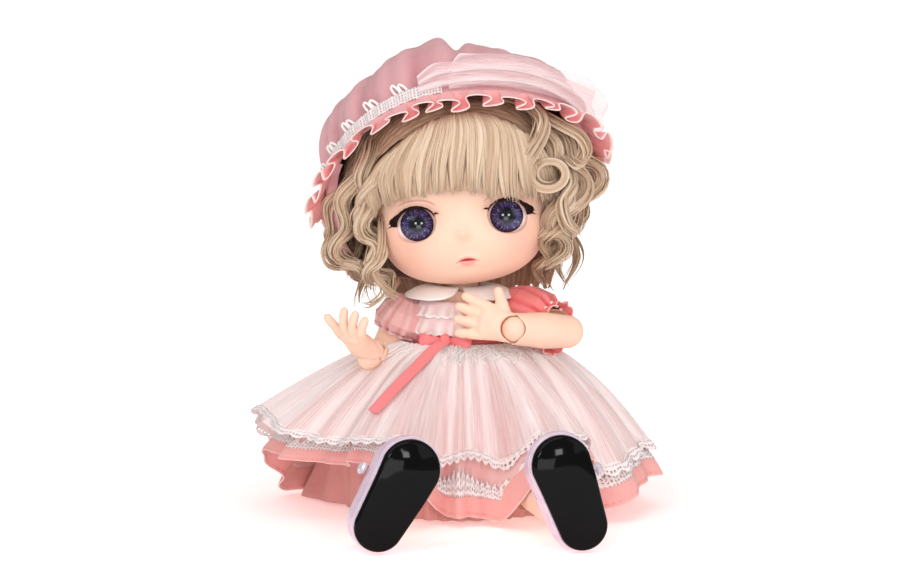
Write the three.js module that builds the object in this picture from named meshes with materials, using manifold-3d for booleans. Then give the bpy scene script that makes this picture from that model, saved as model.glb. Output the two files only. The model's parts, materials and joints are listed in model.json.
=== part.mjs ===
// Seated ball-jointed doll in a gathered dress, mob cap and strap shoes, in millimetres.
// +Z is up, the doll faces -Y, its left hand is towards +X, and it sits on the plane z = 0.
import * as THREE from "three";
import { mergeVertices } from "three/addons/utils/BufferGeometryUtils.js";
import Module from "manifold-3d";

const wasm = await Module();
wasm.setup();

// Clearances
const GAP = 0.3;
const SOCKET_GAP = 0.5;
const CLOTH = 1.1;

// Trunk: half width, half depth and how far its middle lies behind the trunk's axis, at each height
const SEAT = { z: 0, width: 11, depth: 9, back: 6 };
const BUTTOCK = { z: 5, width: 17, depth: 12, back: 5.5 };
const HIP = { z: 15, width: 19, depth: 14, back: 3.5 };
const BELLY = { z: 34, width: 15.5, depth: 12.5, back: 0.5 };
const WAIST = { z: 51, width: 13, depth: 10.5, back: 0 };
const CHEST = { z: 63, width: 15.5, depth: 11.5, back: 0 };
const SHOULDER_TOP = { z: 71, width: 12.5, depth: 9, back: 0 };
const NECK_BASE = { z: 76, width: 7.6, depth: 7.2, back: 0.5 };
const TRUNK_WALL = 4;
const TRUNK_SIDES = 16;

// Joint centres on the trunk, for the left side; the right side mirrors them
const SHOULDER = { x: 20, y: 0, z: 66 };
const HIP_JOINT = { x: 12.5, y: -5, z: 14 };
const NECK_FOOT = { x: 0, y: 1, z: 73 };

// Limbs: length from joint to joint, and radii at the first joint, at the belly and at the last joint
const SHOULDER_BALL_RADIUS = 6;
const UPPER_ARM = { length: 20.5, start: 6, belly: 6, end: 6.4 };
const FOREARM = { length: 21.5, start: 5.6, belly: 6.1, end: 5.4 };
const WRIST_BALL_RADIUS = 4.3;
const WRIST_TRIM = 1.5;
const WRIST_CLEARANCE = 2;
const HIP_BALL_RADIUS = 9.3;
const THIGH = { length: 34, start: 9.3, belly: 9.1, end: 8.4 };
const SHIN = { length: 33, start: 7.4, belly: 7.6, end: 6.6 };
const ANKLE_BOWL = { radius: 9.2, rise: 1.7 };
const LIMB_SIDES = 12;
const FINGER_SIDES = 6;

// How each part points at rest: degrees from straight ahead towards the doll's left, and degrees above level
const POSTURE = {
  right: {
    side: -1,
    upperArm: [-107, -67],
    forearm: [-8, 29],
    hand: [-48, 42],
    handBack: [-51, -43],
    thigh: [-15, -2.5],
    shin: [-10, -1.5],
    sole: [9, -2],
    toeLean: 30,
    fingerCurls: [12, 62, 70, 74],
    fingerFan: [16, 4, -8, -20],
  },
  left: {
    side: 1,
    upperArm: [52, -8],
    forearm: [-58, 7],
    hand: [-95, 15],
    handBack: [-5, 10],
    thigh: [24, -2.5],
    shin: [18, -1.5],
    sole: [14, -2],
    toeLean: -20,
    fingerCurls: [6, 5, 6, 8],
    fingerFan: [9, 4, -2, -11],
  },
};

// How far each joint travels from rest, in degrees, where the travel shapes its neighbours
const HIP_SWING = [-25, 90];
const KNEE_BEND = [0, 105];
const ELBOW_BEND = { right: [-100, 14], left: [-110, 4] };

// Hand: palm and fingers
const PALM = { length: 12, width: 13, thickness: 6.6 };
const FINGER = { length: 10.5, radius: 1.9, tip: 1.45 };
const THUMB = { length: 8.5, radius: 2.1, tip: 1.6, angle: 58 };

// Head, from its widest level; the pivot is the top of the neck
const HEAD = { width: 29.5, depth: 28, crown: 35, chin: 27 };
const HEAD_FULLNESS = 2.5;
const HEAD_WALL = 3.2;
const HEAD_PIVOT = { y: 3, z: -19 };
const HEAD_ROLL = -5.6;
const HEAD_NOD = -8;
const NECK_TOP = { x: 2, y: 1, z: 86 };
const NECK_BALL_RADIUS = 6;
const NECK_RADIUS = 5;
const NECK_OPENING = { radius: 8.5, flare: 11.5 };
const NECK_CLEARANCE = 2.2;
const NOSE = { height: -10.5, reach: 1.7, spread: 2.6 };
const HEAD_CAP_PLANE = { y: 6, z: 6, tilt: 38 };

// Eyes
const EYE = { x: 16, z: -5.2, radius: 8, recess: 1.2, turn: 14 };
const EYE_OPENING = { width: 15.5, height: 11.5 };
const IRIS_RADIUS = 5.7;
const LASH = { thickness: 1.2, reach: 1.6 };

// Wig
const WIG_CAP = 1;
const HAIRLINE = { z: 4, tilt: 30 };
const FRINGE = { half: 60, low: 3, high: 54, thickness: 4, grooves: 15 };
const SIDE_HAIR = { from: 61, to: 108, low: -36, high: 40, thickness: 9 };
const BACK_HAIR = { low: -52, high: 40, thickness: 8 };
const LOCK = { count: 3, radius: 7, tip: 1.6, wave: 3, turns: 1.5, steps: 7, sides: 5 };
const LOCK_END = -33;
const LOCK_BULGE = 5;
const HAIR_GROOVE = 0.8;
const HAIR_GROOVES = 21;

// Mob cap, in the plane of its band; the axis leans back from upright
const CAP = { width: 44, depth: 38, height: 38, lean: 41, y: 7, z: 13 };
const CAP_PUFF = 0.1;
const CAP_PLEATS = 14;
const CAP_BAND = { height: 4, thickness: 1.8 };
const RUFFLE = { waves: 20, length: 10, flare: 7.5, depth: 2, thickness: 0.9 };
const CAP_RIBBON = { from: 14, to: 104, clear: 2.4, ripple: 0.5, rise: 7, drop: 3.6, thickness: 0.8 };

// Dress
const BODICE = { low: 59, high: 72.5 };
const ARMHOLE_RADIUS = 8.2;
const SLEEVE = { from: -3.5, to: 10, puff: 11.2, cuff: 8, frill: 9.2 };
const COLLAR = { inner: 9, outer: 18.6, droop: 2.4, rise: 2, split: 7, back: 118, thickness: 1.2 };
const BIB = { half: 40, low: 60.5, high: 70.5, thickness: 1.3, ripple: 0.4, ripples: 9 };
const SASH = { low: 55.2, high: 58.7, thickness: 1.4 };
const BOW = { x: -7.5, length: 6.5, radius: 2.6, knot: 2.2, slant: 1.2 };
const RIBBON_TAIL = { width: 6, thickness: 0.8, from: 0.08, to: 0.56, azimuth: -36 };
const SKIRT = { waist: 53, hem: 1.2, side: 66, front: 34, back: 48, folds: 16, fold: 2.4 };
const SKIRT_LEG = { lift: 25, reach: 62, half: 8, soft: 8 };
const SKIRT_CURVE = { out: 0.65, down: 1.75, outOverLeg: 0.8, downOverLeg: 1.3 };
const HEM_BAND = 8;
const OVERLAY = { end: 0.84, clear: 3.8, flare: 10, thickness: 0.9 };

// Shoe, in the foot's frame: heel and toe ends from the ankle, and how far the sole lies below it
const SOLE = { heel: 10.8, toe: 28.6, heelRadius: 8.2, toeRadius: 10, below: 9.2, thickness: 2.2 };
const UPPER = { rise: 12.5, wall: 1.2, opening: 13.5 };
const STRAP = { width: 3, at: 11, thickness: 1.1 };
const ORNAMENT_RADIUS = 2.3;

// Stringing
const ELASTIC_RADIUS = 0.8;
const CHANNEL_RADIUS = 1.8;
const ARM_RINGS = 3;
const LEG_RINGS = 2;
const HOOK = { wire: 0.8, bar: 9 };
const STRAND = 2.2;

const X_AXIS = new THREE.Vector3(1, 0, 0);
const Y_AXIS = new THREE.Vector3(0, 1, 0);
const Z_AXIS = new THREE.Vector3(0, 0, 1);
const FAR = 400;
const SIDES = ["right", "left"];

const vec = (x, y, z) => new THREE.Vector3(x, y, z);
const radians = THREE.MathUtils.degToRad;
const place = (spot, side = 1) => vec(spot.x * side, spot.y, spot.z);
const steps = (count) => Array.from({ length: count }, (_, k) => k);
const mix = THREE.MathUtils.lerp;
const smooth = (t) => THREE.MathUtils.smoothstep(t, 0, 1);

// The direction that lies this far round from straight ahead and this far above level.
function aim([around, above]) {
  const [a, e] = [radians(around), radians(above)];
  return vec(Math.sin(a) * Math.cos(e), -Math.cos(a) * Math.cos(e), Math.sin(e));
}

// A closed geometry as a solid, with its faces turned outwards.
function solid(geometry) {
  const bare = geometry.clone();
  ["normal", "uv"].forEach((name) => bare.deleteAttribute(name));
  const merged = mergeVertices(bare, 1e-4);
  const corners = [];
  const source = merged.index.array;
  for (let i = 0; i < source.length; i += 3) {
    const [a, b, c] = source.slice(i, i + 3);
    if (a !== b && b !== c && c !== a) corners.push(a, b, c);
  }
  const vertProperties = merged.attributes.position.array;
  const build = (list) => new wasm.Manifold(
    new wasm.Mesh({ numProp: 3, vertProperties, triVerts: new Uint32Array(list) }),
  );
  const made = build(corners);
  return made.volume() > 0 ? made : build(corners.reverse());
}

// A solid as a named mesh.
function piece(name, made, material) {
  const { numProp, numVert, vertProperties, triVerts } = made.getMesh();
  const points = new Float32Array(numVert * 3);
  for (let i = 0; i < numVert; i++) {
    points.set(vertProperties.subarray(i * numProp, i * numProp + 3), i * 3);
  }
  const geometry = new THREE.BufferGeometry();
  geometry.setAttribute("position", new THREE.BufferAttribute(points, 3));
  geometry.setIndex(new THREE.BufferAttribute(triVerts, 1));
  geometry.computeVertexNormals();
  const mesh = new THREE.Mesh(geometry, material);
  mesh.name = name;
  return mesh;
}

const union = (list) => list.reduce((a, b) => a.add(b));
const moved = (made, matrix) => made.transform(matrix.elements);

// The largest of the separate bodies that a cut leaves.
function main(made) {
  return made.decompose().reduce((a, b) => (a.volume() > b.volume() ? a : b));
}

// A closed solid through a row of loops with the same number of points, capped, or joined end to end.
function loft(loops, joined = false) {
  const count = loops[0].length;
  const points = loops.flat();
  const index = [];
  const rows = joined ? loops.length : loops.length - 1;
  steps(rows).forEach((row) => steps(count).forEach((k) => {
    const [here, there] = [row * count, ((row + 1) % loops.length) * count];
    const next = (k + 1) % count;
    index.push(here + k, here + next, there + next, here + k, there + next, there + k);
  }));
  const cap = (loop, first, turned) => {
    const middle = points.length;
    points.push(loop.reduce((sum, p) => sum.add(p), vec(0, 0, 0)).divideScalar(count));
    steps(count).forEach((k) => {
      const next = (k + 1) % count;
      index.push(middle, first + (turned ? k : next), first + (turned ? next : k));
    });
  };
  if (!joined) {
    cap(loops[0], 0, false);
    cap(loops.at(-1), (loops.length - 1) * count, true);
  }
  const geometry = new THREE.BufferGeometry();
  geometry.setAttribute("position", new THREE.Float32BufferAttribute(points.flatMap((p) => p.toArray()), 3));
  geometry.setIndex(index);
  return solid(geometry);
}

function sphere(centre, radius, around = LIMB_SIDES, rows = 8) {
  return solid(new THREE.SphereGeometry(radius, around, rows).translate(centre.x, centre.y, centre.z));
}

// The matrix that carries +Y to the way from one point to another, starting at the first.
function along(from, to) {
  const way = to.clone().sub(from).normalize();
  return new THREE.Matrix4()
    .makeRotationFromQuaternion(new THREE.Quaternion().setFromUnitVectors(Y_AXIS, way))
    .setPosition(from);
}

// A ball whose poles lie on the line from one joint to the next, like the limb there.
function ballOn(centre, towards, radius) {
  const rows = radius > 8 ? 8 : 6;
  return solid(new THREE.SphereGeometry(radius, LIMB_SIDES, rows).applyMatrix4(along(centre, towards)));
}

// The outline of a limb from the back of its first ball to the tip of its last: radius and distance along.
function limbOutline(length, size, grow, arcSteps) {
  const arc = (radius, middle, first) => steps(arcSteps + 1).map((k) => {
    const a = radians(first + (90 * k) / arcSteps);
    return new THREE.Vector2((radius + grow) * Math.cos(a), middle + (radius + grow) * Math.sin(a));
  });
  const belly = new THREE.Vector2(size.belly + grow, 0.42 * length);
  const outline = [...arc(size.start, 0, -90), belly, ...arc(size.end, length, 0)];
  outline[0].x = 0;
  outline.at(-1).x = 0;
  return outline;
}

// A limb turned about the line between two joints, round at both ends.
function limb(from, to, size, grow = 0, sides = LIMB_SIDES, arcSteps = 3) {
  const outline = limbOutline(from.distanceTo(to), size, grow, arcSteps);
  return solid(new THREE.LatheGeometry(outline, sides).applyMatrix4(along(from, to)));
}

// The slot that a limb needs to turn about an axis at its first joint: a flat-sided fan between two angles.
function slot(from, to, radius, axis, [low, high], sides = [radius, radius]) {
  const reach = 1.2 * from.distanceTo(to);
  const middlePoint = new THREE.Vector2();
  const point = (far, degrees) => new THREE.Vector2(far, 0).rotateAround(middlePoint, radians(degrees));
  const edge = (degrees, side) => {
    const off = point(radius, degrees + side);
    return [off, point(reach, degrees).add(off)];
  };
  const middle = 0.5 * (low + high);
  const outline = new THREE.Shape([
    ...edge(low, -90),
    point(2 * reach, mix(low, middle, 0.5)),
    point(2 * reach, mix(high, middle, 0.5)),
    ...edge(high, 90).reverse(),
  ]);
  const prism = new THREE.ExtrudeGeometry(outline, { depth: sides[0] + sides[1], bevelEnabled: false })
    .translate(0, 0, -sides[0]);
  const way = to.clone().sub(from).normalize();
  const flat = way.clone().addScaledVector(axis, -way.dot(axis)).normalize();
  const frame = new THREE.Matrix4().makeBasis(flat, axis.clone().cross(flat), axis).setPosition(from);
  return solid(prism.applyMatrix4(frame));
}

// A tube of even thickness along a smooth line through points, with some rings to each stretch of it.
function tube(points, radius, rings, sides = 8) {
  const path = new THREE.CatmullRomCurve3(points, false, "centripetal");
  const count = rings * (points.length - 1);
  const out = vec(1, 2, 3).cross(path.getTangent(0)).normalize();
  return loft(path.getPoints(count).map((centre, k) => {
    const way = path.getTangent(k / count);
    out.addScaledVector(way, -out.dot(way)).normalize();
    const across = way.clone().cross(out);
    return steps(sides).map((n) => {
      const a = (2 * Math.PI * n) / sides;
      return centre.clone()
        .addScaledVector(out, radius * Math.cos(a))
        .addScaledVector(across, radius * Math.sin(a));
    });
  }));
}

// All the space on one side of a plane.
function halfSpace(point, normal) {
  const box = new THREE.BoxGeometry(FAR, FAR, FAR).translate(0, FAR / 2, 0);
  return solid(box.applyMatrix4(along(point, point.clone().add(normal))));
}

const finish = (color, roughness, metalness = 0) =>
  new THREE.MeshStandardMaterial({ color, roughness, metalness });
const SKIN = finish(0xffdcc2, 0.55);
const HAIR = finish(0xcbb08c, 0.45);
const EYE_WHITE = finish(0xf6f1ee, 0.2);
const IRIS = finish(0x4a3f7a, 0.1);
const LASH_INK = finish(0x2a1518, 0.6);
const ROSE_CLOTH = finish(0xd9a0a4, 0.85);
const PINK_CLOTH = finish(0xf3b3b3, 0.85);
const PALE_CLOTH = finish(0xf9d6d8, 0.9);
const WHITE_CLOTH = finish(0xf8ece8, 0.85);
const CORAL_CLOTH = finish(0xf07f86, 0.55);
const LILAC_LEATHER = finish(0xd9bfd6, 0.3, 0.2);
const BLACK_RUBBER = finish(0x141112, 0.2);
const CRYSTAL = finish(0xe9e6f2, 0.08);
const STEEL = finish(0xb8bcc2, 0.3, 0.9);
const ELASTIC = finish(0xeeeeea, 0.8);

// Trunk

const TRUNK_LEVELS = [SEAT, BUTTOCK, HIP, BELLY, WAIST, CHEST, SHOULDER_TOP, NECK_BASE];

// Half width, half depth and setback of the trunk at a height, on a smooth line through the levels.
function trunkAt(z) {
  const above = TRUNK_LEVELS.findIndex((level) => level.z > z);
  const upper = above < 0 ? TRUNK_LEVELS.length - 1 : Math.max(1, above);
  const [a, b] = [TRUNK_LEVELS[upper - 1], TRUNK_LEVELS[upper]];
  const t = smooth((z - a.z) / (b.z - a.z));
  return { width: mix(a.width, b.width, t), depth: mix(a.depth, b.depth, t), back: mix(a.back, b.back, t) };
}

// A point on the trunk, grown outwards, at an angle from straight ahead.
function trunkPoint(angle, z, grow = 0) {
  const { width, depth, back } = trunkAt(z);
  return vec((width + grow) * Math.sin(angle), back - (depth + grow) * Math.cos(angle), z);
}

function trunkLoop(z, grow, sides) {
  return steps(sides).map((k) => trunkPoint((2 * Math.PI * k) / sides, z, grow));
}

// The trunk's form between two heights.
function trunkForm(low, high, grow, count = 10, sides = TRUNK_SIDES) {
  return loft(steps(count + 1).map((k) => trunkLoop(mix(low, high, k / count), grow, sides)));
}

// Joint centres at rest
const joints = Object.fromEntries(SIDES.map((name) => {
  const pose = POSTURE[name];
  const shoulder = place(SHOULDER, pose.side);
  const elbow = shoulder.clone().addScaledVector(aim(pose.upperArm), UPPER_ARM.length);
  const wrist = elbow.clone().addScaledVector(aim(pose.forearm), FOREARM.length);
  const hip = place(HIP_JOINT, pose.side);
  const knee = hip.clone().addScaledVector(aim(pose.thigh), THIGH.length);
  const ankle = knee.clone().addScaledVector(aim(pose.shin), SHIN.length);
  const elbowAxis = aim(pose.upperArm).cross(aim(pose.forearm)).normalize();
  const kneeAxis = aim(pose.shin).cross(Z_AXIS).negate().normalize();
  return [name, { shoulder, elbow, wrist, hip, knee, ankle, elbowAxis, kneeAxis }];
}));

// Routes of the elastics from joint to joint
const armRoute = [
  joints.right.wrist, joints.right.elbow, joints.right.shoulder,
  vec(0, -CHEST.depth / 3, CHEST.z), joints.left.shoulder, joints.left.elbow, joints.left.wrist,
];
const neckTop = place(NECK_TOP);
const neckFoot = place(NECK_FOOT);
const hookHeight = NECK_BALL_RADIUS + HOOK.wire + GAP;
const legStrand = (name) => {
  const { ankle, knee, hip } = joints[name];
  const out = vec(POSTURE[name].side * STRAND, 0, 0);
  const below = vec(0, HIP.back, mix(HIP.z, WAIST.z, 0.5)).add(out);
  const top = neckTop.clone().addScaledVector(Z_AXIS, hookHeight - HOOK.wire);
  return [ankle, knee, hip, below, neckFoot.clone().add(out), top.add(out)];
};
const legRoute = [
  ...legStrand("right"),
  neckTop.clone().addScaledVector(Z_AXIS, hookHeight + HOOK.wire + 2 * GAP + ELASTIC_RADIUS),
  ...legStrand("left").reverse(),
];
const armChannel = tube(armRoute, CHANNEL_RADIUS, ARM_RINGS, 6);
const legChannel = tube(legRoute, CHANNEL_RADIUS, LEG_RINGS, 6);
const armElastic = tube(armRoute, ELASTIC_RADIUS, ARM_RINGS);
const legElastic = tube(legRoute, ELASTIC_RADIUS, LEG_RINGS);

// Limbs of one side, each cut clear of what turns in it
function buildLimbs(name) {
  const pose = POSTURE[name];
  const { shoulder, elbow, wrist, hip, knee, ankle, elbowAxis, kneeAxis } = joints[name];
  const socket = (centre, towards, radius) => ballOn(centre, towards, radius + SOCKET_GAP);

  const shoulderBall = ballOn(shoulder, elbow, SHOULDER_BALL_RADIUS);
  const forearmRadius = Math.max(FOREARM.start, FOREARM.belly) + GAP;
  const upperArm = main(limb(shoulder, elbow, UPPER_ARM)
    .subtract(socket(shoulder, elbow, SHOULDER_BALL_RADIUS))
    .subtract(socket(elbow, shoulder, FOREARM.start))
    .subtract(slot(elbow, wrist, forearmRadius, elbowAxis, ELBOW_BEND[name])));
  const forearmWay = aim(pose.forearm);
  const forearmEnd = halfSpace(wrist.clone().addScaledVector(forearmWay, -WRIST_TRIM), forearmWay);
  const forearm = limb(elbow, wrist, FOREARM)
    .subtract(forearmEnd)
    .subtract(socket(wrist, elbow, WRIST_BALL_RADIUS));
  const wristBall = ballOn(wrist, elbow, WRIST_BALL_RADIUS);

  const hipBall = ballOn(hip, knee, HIP_BALL_RADIUS);
  const shinRadius = Math.max(SHIN.start, SHIN.belly) + GAP;
  const thigh = main(limb(hip, knee, THIGH)
    .subtract(socket(hip, knee, HIP_BALL_RADIUS))
    .subtract(socket(knee, hip, SHIN.start))
    .subtract(slot(knee, ankle, shinRadius, kneeAxis, KNEE_BEND)));
  const shin = limb(knee, ankle, SHIN);
  const forward = hip.clone().addScaledVector(Y_AXIS, -THIGH.length);
  const thighRadius = THIGH.start + SOCKET_GAP;
  const walls = pose.side > 0 ? [thighRadius, FAR / 4] : [FAR / 4, thighRadius];
  const legOpening = slot(hip, forward, thighRadius, X_AXIS, HIP_SWING, walls)
    .add(sphere(hip, HIP_BALL_RADIUS + SOCKET_GAP));

  const strung = (made, channel) => main(made.subtract(channel));
  return {
    shoulderBall: strung(shoulderBall, armChannel),
    upperArm: strung(upperArm, armChannel),
    forearm: strung(forearm, armChannel),
    wristBall: strung(wristBall, armChannel),
    hipBall: strung(hipBall, legChannel),
    thigh: strung(thigh, legChannel),
    shin: strung(shin, legChannel),
    legOpening,
  };
}

// One finger: a taper that curls towards the palm, in the hand's frame.
function finger(root, fan, curl, size) {
  const flat = vec(Math.sin(radians(fan)), Math.cos(radians(fan)), 0);
  const across = flat.clone().cross(Z_AXIS);
  const bend = (share) => radians(curl * share);
  const shares = [0, 0.4, 0.8, 1];
  const centre = root.clone();
  return loft(shares.map((share, k) => {
    const way = flat.clone().multiplyScalar(Math.cos(bend(share)));
    way.addScaledVector(Z_AXIS, -Math.sin(bend(share)));
    const out = across.clone().cross(way);
    centre.addScaledVector(way, size.length * (k ? share - shares[k - 1] : 0));
    const radius = k === shares.length - 1 ? 0.55 * size.tip : mix(size.radius, size.tip, share);
    return steps(FINGER_SIDES).map((n) => {
      const a = (2 * Math.PI * n) / FINGER_SIDES;
      return centre.clone()
        .addScaledVector(across, radius * Math.cos(a))
        .addScaledVector(out, radius * Math.sin(a));
    });
  }));
}

// The frame of a hand: +Y towards the fingers, +Z out of the back of the hand, at the wrist.
function handFrame(name) {
  const way = aim(POSTURE[name].hand);
  const out = aim(POSTURE[name].handBack);
  const across = way.clone().cross(out).normalize();
  const back = across.clone().cross(way).normalize();
  return new THREE.Matrix4().makeBasis(across, way, back).setPosition(joints[name].wrist);
}

// A hand with its cup for the wrist ball. The thumb lies towards -X on the right hand and +X on the left.
function buildHand(name) {
  const { side, fingerCurls, fingerFan } = POSTURE[name];
  const thumbSide = side;
  const palmLoop = (y, share) => steps(10).map((k) => {
    const a = (2 * Math.PI * k) / 10;
    return vec(share * 0.5 * PALM.width * Math.cos(a), y, share * 0.5 * PALM.thickness * Math.sin(a));
  });
  const rows = [[0.4 * PALM.length, 0.92], [0.75 * PALM.length, 1], [PALM.length, 0.9]];
  const wristLoop = steps(10).map((k) => {
    const a = (2 * Math.PI * k) / 10;
    return vec(FOREARM.end * Math.cos(a), WRIST_TRIM, FOREARM.end * 0.86 * Math.sin(a));
  });
  const palm = loft([wristLoop, ...rows.map(([y, share]) => palmLoop(y, share))]);
  const fingers = fingerFan.map((fan, k) => {
    const across = thumbSide * mix(0.36, -0.36, k / 3) * PALM.width;
    return finger(vec(across, PALM.length - FINGER.radius, 0), thumbSide * fan, fingerCurls[k], FINGER);
  });
  const thumbRoot = vec(thumbSide * 0.36 * PALM.width, 0.42 * PALM.length, -0.1 * PALM.thickness);
  const thumb = finger(thumbRoot, thumbSide * THUMB.angle, 14, THUMB);
  const socket = sphere(vec(0, 0, 0), WRIST_BALL_RADIUS + SOCKET_GAP, 10);
  const made = moved(union([palm, ...fingers, thumb]).subtract(socket), handFrame(name));
  const way = aim(POSTURE[name].forearm);
  const cuff = joints[name].wrist.clone().addScaledVector(way, WRIST_CLEARANCE - WRIST_TRIM);
  return main(made.subtract(halfSpace(cuff, way.negate())).subtract(armChannel));
}

// Shoes

// The frame of a foot: +X across, +Y towards the toes, +Z out of the sole, at the ankle.
function footFrame(name) {
  const down = aim(POSTURE[name].sole);
  const lean = radians(POSTURE[name].toeLean);
  const upright = vec(Math.sin(lean), 0, Math.cos(lean));
  const across = upright.clone().cross(down).normalize();
  const toe = down.clone().cross(across).normalize();
  return new THREE.Matrix4().makeBasis(across, toe, down).setPosition(joints[name].ankle);
}

// The outline of the sole, as a loop of points at one depth, drawn in by a margin.
function soleLoop(depth, margin, arc = 6) {
  const round = (middle, radius, first) => steps(arc).map((k) => {
    const a = radians(first + (180 * k) / (arc - 1));
    return vec((radius - margin) * Math.cos(a), middle + (radius - margin) * Math.sin(a), depth);
  });
  const toe = round(SOLE.toe - SOLE.toeRadius, SOLE.toeRadius, 0);
  const heel = round(SOLE.heelRadius - SOLE.heel, SOLE.heelRadius, 180);
  return [...toe, ...heel];
}

// The rounded form of a shod foot above its sole, shrunk all round by a margin.
function footForm(margin) {
  const levels = [[0, 0], [0.5, 0], [0.8, 2.2], [1, 6]];
  return loft(levels.map(([share, draw]) =>
    soleLoop(SOLE.below - GAP - margin - share * (UPPER.rise - 2 * margin), draw + margin)));
}

function buildFoot(name) {
  const frame = footFrame(name);
  const back = frame.clone().invert();
  const { ankle, knee } = joints[name];
  const inner = footForm(UPPER.wall);
  const hole = soleLoop(0, UPPER.wall + GAP).filter((p) => p.y < UPPER.opening);
  const mouth = loft([
    hole.map((p) => p.clone().setZ(SOLE.below - 0.55 * UPPER.rise)),
    hole.map((p) => p.clone().setZ(-FAR)),
  ]);
  const outer = footForm(0);
  const upper = main(outer.subtract(footForm(UPPER.wall - GAP)).subtract(mouth));
  const soleShape = new THREE.Shape(soleLoop(0, 0).map((p) => new THREE.Vector2(p.x, p.y)));
  const soleBlock = new THREE.ExtrudeGeometry(soleShape, { depth: SOLE.thickness, bevelEnabled: false });
  const sole = solid(soleBlock.translate(0, 0, SOLE.below));
  const slab = solid(new THREE.BoxGeometry(FAR, STRAP.width, FAR)
    .translate(0, STRAP.at, SOLE.below - 0.4 * UPPER.rise - FAR / 2));
  const strap = main(footForm(-STRAP.thickness - GAP).subtract(footForm(-GAP)).intersect(slab));
  const outerSide = POSTURE[name].side * (SOLE.toeRadius + STRAP.thickness + ORNAMENT_RADIUS);
  const bead = sphere(vec(outerSide, STRAP.at, SOLE.below - 0.62 * UPPER.rise), ORNAMENT_RADIUS, 8, 6)
    .subtract(footForm(-STRAP.thickness - 2 * GAP));
  const upLeg = knee.clone().sub(ankle).normalize();
  const bowl = sphere(ankle.clone().addScaledVector(upLeg, ANKLE_BOWL.rise), ANKLE_BOWL.radius);
  const clearOfShin = (made) => main(made.subtract(moved(bowl, back)));
  return {
    foot: moved(clearOfShin(inner), frame),
    shoeUpper: moved(clearOfShin(upper), frame),
    shoeSole: moved(sole, frame),
    shoeStrap: moved(clearOfShin(strap), frame),
    shoeOrnament: moved(main(bead), frame),
  };
}

// Dress

function buildBodice(cutters) {
  const outer = trunkForm(BODICE.low, BODICE.high, GAP + CLOTH, 3);
  const inner = trunkForm(BODICE.low, BODICE.high, GAP, 3);
  return main(outer.subtract(inner).subtract(cutters));
}

// A strip that follows the trunk between two angles, standing off it between two distances.
function trunkStrip([from, to], [low, high], [near, far], ripple, count, rows) {
  return loft(steps(count + 1).map((k) => {
    const angle = radians(mix(from, to, k / count));
    const heights = steps(rows + 1).map((r) => mix(low, high, r / rows));
    const outside = heights.map((z) => trunkPoint(angle, z, far + ripple(k / count)));
    const inside = heights.map((z) => trunkPoint(angle, z, near)).reverse();
    return [...outside, ...inside];
  }));
}

const bodiceFace = GAP + CLOTH;

function buildBib() {
  const ripple = (share) => BIB.ripple * Math.cos(2 * Math.PI * BIB.ripples * share);
  const near = bodiceFace + 2 * GAP;
  return trunkStrip([-BIB.half, BIB.half], [BIB.low, BIB.high], [near, near + BIB.thickness], ripple, 18, 2);
}

// Half of the round collar: a curved leaf that lies from the neck out over the shoulder.
function buildCollar(side) {
  const height = (reach) => BODICE.high + COLLAR.rise + COLLAR.thickness - COLLAR.droop * reach ** 2;
  return loft(steps(9).map((k) => {
    const share = k / 8;
    const angle = radians(mix(COLLAR.split, COLLAR.back, share)) * side;
    const end = Math.min(1, 3.2 * share + 0.45) * Math.min(1, 3 * (1 - share) + 0.5);
    const row = steps(4).map((r) => {
      const reach = (r / 3) * end;
      const radius = mix(COLLAR.inner, COLLAR.outer, reach);
      return vec(radius * Math.sin(angle), -0.86 * radius * Math.cos(angle), height(reach));
    });
    const under = row.map((p) => p.clone().addScaledVector(Z_AXIS, -COLLAR.thickness)).reverse();
    return [...row, ...under];
  }));
}

// A puffed sleeve turned about the upper arm, open at both ends.
function buildSleeve(name) {
  const { shoulder, elbow } = joints[name];
  const hole = Math.max(UPPER_ARM.start, UPPER_ARM.end, SHOULDER_BALL_RADIUS) + SOCKET_GAP + GAP;
  const length = SLEEVE.to - SLEEVE.from;
  const at = (share) => SLEEVE.from + share * length;
  const outline = new THREE.SplineCurve([
    new THREE.Vector2(hole + 1, at(0)),
    new THREE.Vector2(0.93 * SLEEVE.puff, at(0.2)),
    new THREE.Vector2(SLEEVE.puff, at(0.5)),
    new THREE.Vector2(0.9 * SLEEVE.puff, at(0.76)),
    new THREE.Vector2(SLEEVE.cuff, at(0.9)),
    new THREE.Vector2(SLEEVE.frill, at(1)),
  ]).getPoints(5);
  const inside = [new THREE.Vector2(hole, at(1)), new THREE.Vector2(hole, at(0))];
  const profile = [...outline, ...inside, outline[0]];
  return solid(new THREE.LatheGeometry(profile, LIMB_SIDES).applyMatrix4(along(shoulder, elbow)));
}

function buildSash() {
  const near = GAP;
  return loft(steps(TRUNK_SIDES).map((k) => {
    const angle = (2 * Math.PI * k) / TRUNK_SIDES;
    const outer = [SASH.low, SASH.high].map((z) => trunkPoint(angle, z, near + SASH.thickness));
    const inner = [SASH.high, SASH.low].map((z) => trunkPoint(angle, z, near));
    return [...outer, ...inner];
  }), true);
}

// The bow on the sash: two flattened loops on a knot.
function buildBow() {
  const height = 0.5 * (SASH.low + SASH.high);
  const angle = Math.asin(BOW.x / WAIST.width);
  const centre = trunkPoint(angle, height, GAP + SASH.thickness + GAP + BOW.knot);
  const across = vec(Math.cos(angle), Math.sin(angle), 0);
  const wing = (way) => {
    const size = { start: 0.4 * BOW.radius, belly: 0.9 * BOW.radius, end: BOW.radius };
    const slant = vec(0, -1, BOW.slant * way);
    const tip = centre.clone().addScaledVector(across, way * BOW.length).add(slant);
    return limb(centre, tip, size, 0, FINGER_SIDES, 2);
  };
  return union([sphere(centre, BOW.knot, 8, 6), wing(-1), wing(1)]);
}

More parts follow.
